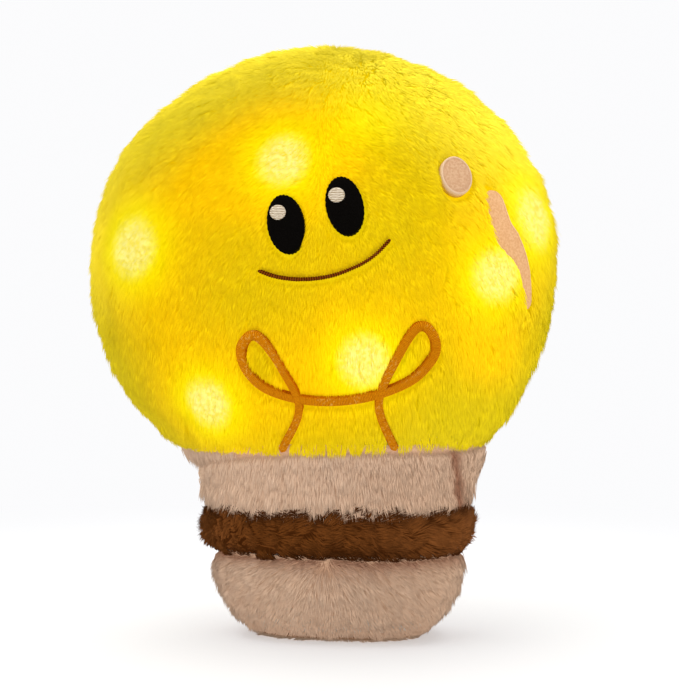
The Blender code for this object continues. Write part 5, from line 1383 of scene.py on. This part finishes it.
def stitched_line(
    name, shares, widths, proud, sunk, finish, lift=0.0, profile=DOMED, pitch=0.0007, ragged=0.10, step=0.00018
):
    """Line of stitches: a section carried along a path on the skin, as wide as widths say on the way.

    The section has the profile's heights at its shares of the half width. Its width and height go
    up and down once for each stitch, as a triangle wave, so that single threads show at the edges.
    """
    points, normals = skin_line(shares, 24)
    length = np.concatenate([[0], np.cumsum(np.linalg.norm(np.diff(points, axis=0), axis=1))])
    places = np.linspace(0, length[-1], int(length[-1] / step))
    share = np.interp(places, length, np.linspace(0, 1, len(length)))
    broad = np.interp(share, np.linspace(0, 1, len(widths)), widths)
    points = np.stack([np.interp(places, length, axis) for axis in points.T], 1)
    normals = unit(np.stack([np.interp(places, length, axis) for axis in normals.T], 1))
    side = unit(np.cross(unit(np.gradient(points, axis=0)), normals))
    half, tall = np.array(profile).T
    across = np.concatenate([-half[::-1], half[1:], [0.9, -0.9]])
    height = np.concatenate([tall[::-1], tall[1:], [-sunk / proud, -sunk / proud]])
    wave = np.abs((places / pitch) % 1 * 2 - 1) - 0.5
    end = np.minimum(places, length[-1] - places)
    taper = np.sqrt(np.clip(1 - (1 - np.clip(end / (broad / 2), 0, 1)) ** 2, 0.02, 1))
    reach = broad / 2 * taper * (1 + ragged * wave * np.clip(end / 0.002, 0, 1))
    rise = proud * height[None] * (1 + 0.18 * np.where(height > 0, 1, 0)[None] * wave[:, None]) + lift
    grid = points[:, None] + side[:, None] * (across * reach[:, None])[..., None] + normals[:, None] * rise[..., None]
    rows = np.concatenate([[0], np.arange(len(places)), [-1]])
    grid = grid[rows]
    grid[0], grid[-1] = grid[0].mean(0), grid[-1].mean(0)
    marks = {label: values[None] for label, values in felt_marks(np.abs(across)).items()}
    grid = plumped(grid)
    marks["warm"] = root_light(grid.reshape(-1, 3))[0].reshape(grid.shape[:2])
    return grid_shell(name, grid, finish, run=places[rows][:, None], **marks)


mouth = stitched_line(
    "stitched_mouth", MOUTH, (MOUTH_WIDTH,) * 2, 0.0010, 0.004, MOUTH_THREAD, pitch=0.0013, ragged=0.9
)
ride(mouth, "root", "red_brown_thread", "mouth")
filament = stitched_line("stitched_filament", FILAMENT, FILAMENT_WIDTHS, 0.0013, 0.004, ORANGE_THREAD, ragged=0.12)
ride(filament, "root", "orange_thread", "filament")


def felt_finish():
    """Beige felt: short matted fibres in two tones, dark in the sewn groove and pale on the edge."""
    finish = Finish("beige_felt", {"Roughness": 0.95, "Emission Strength": 1.0})
    grain = finish.noise(900.0, 4.0)
    matted = finish.blend(finish.ramp(grain, 0.35, 0.65), tint(206, 158, 118), tint(222, 180, 140))
    stitches = (finish.attribute("run") * (2 * math.pi / 0.0016)).sine() * 0.25 + 0.6
    matted = finish.blend(finish.attribute("groove") * stitches, matted, tint(196, 148, 108))
    matted = finish.blend(finish.attribute("edge"), matted, tint(230, 196, 160))
    finish.feed(Base_Color=matted)
    # Painted glow of the lights behind the felt.
    lit = finish.attribute("warm").clamped()
    finish.feed(Emission_Color=finish.blend(lit, (0.0, 0.0, 0.0, 1), (0.20, 0.08, 0.0, 1)))
    return finish.bump(grain, 0.0003)


FELT = felt_finish()
dot = stitched_oval("felt_dot", DOT, DOT_TURN, DOT_HALF_WIDTH, DOT_HALF_LENGTH, 0.0015, 0.004, FELT, profile=FELTED)
ride(dot, "root", "beige_felt", "glare_dot")
stripe = stitched_line(
    "felt_stripe", STRIPE, STRIPE_WIDTHS, 0.0010, 0.005, FELT, lift=-STRIPE_SUNK, profile=FELTED, ragged=0.0, step=0.001
)
ride(stripe, "root", "beige_felt", "glare_stripe")


def plain_finish(name, low, high, scale, constants, depth=0.0001):
    """Moulded or drawn surface: two close colours by a noise, with a fine bump."""
    finish = Finish(name, constants)
    grain = finish.noise(scale, 3.0)
    finish.feed(Base_Color=finish.blend(finish.ramp(grain, 0.3, 0.7), low, high))
    return finish.bump(grain, depth, 0.3)


def cell_finish(name, edge, way):
    """Printed wrap of a cell: dark, and copper coloured past an edge at its positive end."""
    finish = Finish(name, {"Roughness": 0.35})
    height = finish.node("ShaderNodeSeparateXYZ", {}, {0: finish.place()}, "Z")
    end = finish.ramp((height - edge) * way, 0.0, 0.0004)
    wrap = finish.blend(finish.noise(300.0, 3.0), tint(38, 44, 50), tint(54, 60, 66))
    finish.feed(Base_Color=finish.blend(end, wrap, tint(206, 148, 84)), Metallic=end * 0.6)
    return finish


SLOT_FINISHES = {
    "case_plastic": plain_finish("case_plastic", tint(226, 222, 214), tint(236, 233, 226), 900.0, {"Roughness": 0.45}),
    "button_plastic": plain_finish("button_plastic", tint(192, 48, 38), tint(206, 60, 48), 900.0, {"Roughness": 0.4}),
    "steel": plain_finish(
        "steel", tint(176, 177, 179), tint(194, 195, 197), 1500.0, {"Roughness": 0.3, "Metallic": 1.0}
    ),
    "cell_wrap": cell_finish("cell_wrap", 0.2085, 1.0),
    "cell_wrap_turned": cell_finish("cell_wrap_turned", 0.1835, -1.0),
    "board_green": plain_finish("board_green", tint(24, 98, 54), tint(34, 114, 66), 400.0, {"Roughness": 0.5}),
    "switch_black": plain_finish("switch_black", tint(24, 24, 26), tint(34, 34, 36), 900.0, {"Roughness": 0.45}),
    "lens_milk": plain_finish("lens_milk", tint(255, 244, 190), tint(255, 250, 214), 300.0, {"Roughness": 0.25}),
    "wire_yellow": plain_finish("wire_yellow", tint(222, 192, 40), tint(234, 206, 60), 500.0, {"Roughness": 0.45}),
}
NODE_SLOTS = {
    "battery_case": "case_plastic", "switch_plate": "case_plastic", "battery_door": "case_plastic",
    "power_button": "button_plastic", "door_screw": "steel", "battery_spring_1": "steel",
    "battery_spring_2": "steel", "battery_spring_3": "steel", "contact_plate_top": "steel",
    "contact_plate_bottom": "steel", "battery_cell_1": "cell_wrap", "battery_cell_2": "cell_wrap_turned",
    "battery_cell_3": "cell_wrap", "circuit_board": "board_green", "switch_body": "switch_black",
}
for name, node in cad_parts.items():
    slot_name = NODE_SLOTS.get(name)
    if name.startswith("led_"):
        slot_name = "lens_milk"
    if name.startswith("wire_"):
        slot_name = "wire_yellow"
    if slot_name:
        node.data.materials.clear()
        node.data.materials.append(SLOT_FINISHES[slot_name].material)


# Floor, lamps and camera
def floor_finish():
    """Pale floor that takes shadows near the toy and fades into the backdrop's colour further off."""
    finish = Finish("pale_floor", {"Roughness": 0.9, "Base Color": (0.93, 0.93, 0.94, 1)})
    finish.tree.nodes.remove(finish.shader)
    near = finish.node("ShaderNodeBsdfDiffuse", {}, {"Color": (0.93, 0.93, 0.94, 1)}, 0)
    far = finish.node("ShaderNodeEmission", {}, {"Color": (0.97, 0.97, 0.98, 1), "Strength": 1.0}, 0)
    distance = finish.node("ShaderNodeVectorMath", {"operation": "LENGTH"}, {0: finish.place()}, "Value")
    faded = finish.ramp(distance, 0.10, 0.6) * 0.6 + 0.4
    mixed = finish.node("ShaderNodeMixShader", {}, {0: faded, 1: near, 2: far}, 0)
    below = finish.node("ShaderNodeNewGeometry", {}, {}, "Backfacing")
    clear = finish.node("ShaderNodeBsdfTransparent", {}, {}, 0)
    mixed = finish.node("ShaderNodeMixShader", {}, {0: below, 1: mixed, 2: clear}, 0)
    output = finish.tree.nodes["Material Output"]
    finish.tree.links.new(mixed.socket, output.inputs["Surface"])
    return finish


FLOOR_HALF = 6.0
floor_corners = np.array([(-1, -1, 0), (1, -1, 0), (1, 1, 0), (-1, 1, 0)]) * FLOOR_HALF
floor = mesh_of("floor", floor_corners, np.array([(0, 1, 2, 3)]), floor_finish(), smooth=False)


def soft_lamp(name, place, size, power):
    """Square area lamp aimed at the globe."""
    lamp = bpy.data.lights.new(name, "AREA")
    lamp.size = size
    lamp.energy = power
    made = bpy.data.objects.new(name, lamp)
    bpy.context.scene.collection.objects.link(made)
    made.location = place
    aim = np.array([0, 0, 0.16]) - np.array(place)
    made.rotation_euler = Vector(aim).to_track_quat("-Z", "Y").to_euler()
    return made


soft_lamp("key", (-0.8, -1.0, 1.5), 1.6, 10.5)
soft_lamp("fill", (1.2, -0.9, 0.8), 1.6, 3.1)
soft_lamp("rear", (-0.1, 0.3, 1.6), 2.0, 21.5)


class Studio(Finish):
    """The world and its node tree."""

    def __init__(self, name):
        self.world = bpy.data.worlds.new(name)
        self.world.use_nodes = True
        self.tree = self.world.node_tree


def studio_world():
    """World of even white light, which rays that see it directly or in gloss meet as the pale backdrop."""
    studio = Studio("studio")
    ambient = studio.node("ShaderNodeBackground", {}, {"Color": (1.0, 1.0, 1.0, 1), "Strength": 0.64}, 0)
    backdrop = studio.node("ShaderNodeBackground", {}, {"Color": (0.97, 0.97, 0.98, 1), "Strength": 1.0}, 0)
    kinds = ("Camera", "Glossy", "Transmission")
    rays = [studio.node("ShaderNodeLightPath", {}, {}, f"Is {kind} Ray") for kind in kinds]
    seen = studio.node("ShaderNodeMixShader", {}, {0: sum(rays).clamped(), 1: ambient, 2: backdrop}, 0)
    studio.tree.links.new(seen.socket, studio.tree.nodes["World Output"].inputs["Surface"])
    return studio.world


bpy.context.scene.world = studio_world()

CAMERA_TURN, CAMERA_RISE, CAMERA_DISTANCE = math.radians(10.0), math.radians(3.0), 1.2
AIM = np.array([0.0095, 0.0, 0.161])
back_way = np.array([
    math.sin(CAMERA_TURN) * math.cos(CAMERA_RISE), -math.cos(CAMERA_TURN) * math.cos(CAMERA_RISE),
    math.sin(CAMERA_RISE),
])
camera = bpy.data.objects.new("camera", bpy.data.cameras.new("camera"))
bpy.context.scene.collection.objects.link(camera)
camera.data.sensor_width = 36.0
camera.data.lens = 2160 / 692 * 36.0
camera.location = AIM + back_way * CAMERA_DISTANCE
camera.rotation_euler = (math.pi / 2 - CAMERA_RISE, 0, CAMERA_TURN)
bpy.context.scene.camera = camera
bpy.context.scene.view_settings.view_transform = "Standard"
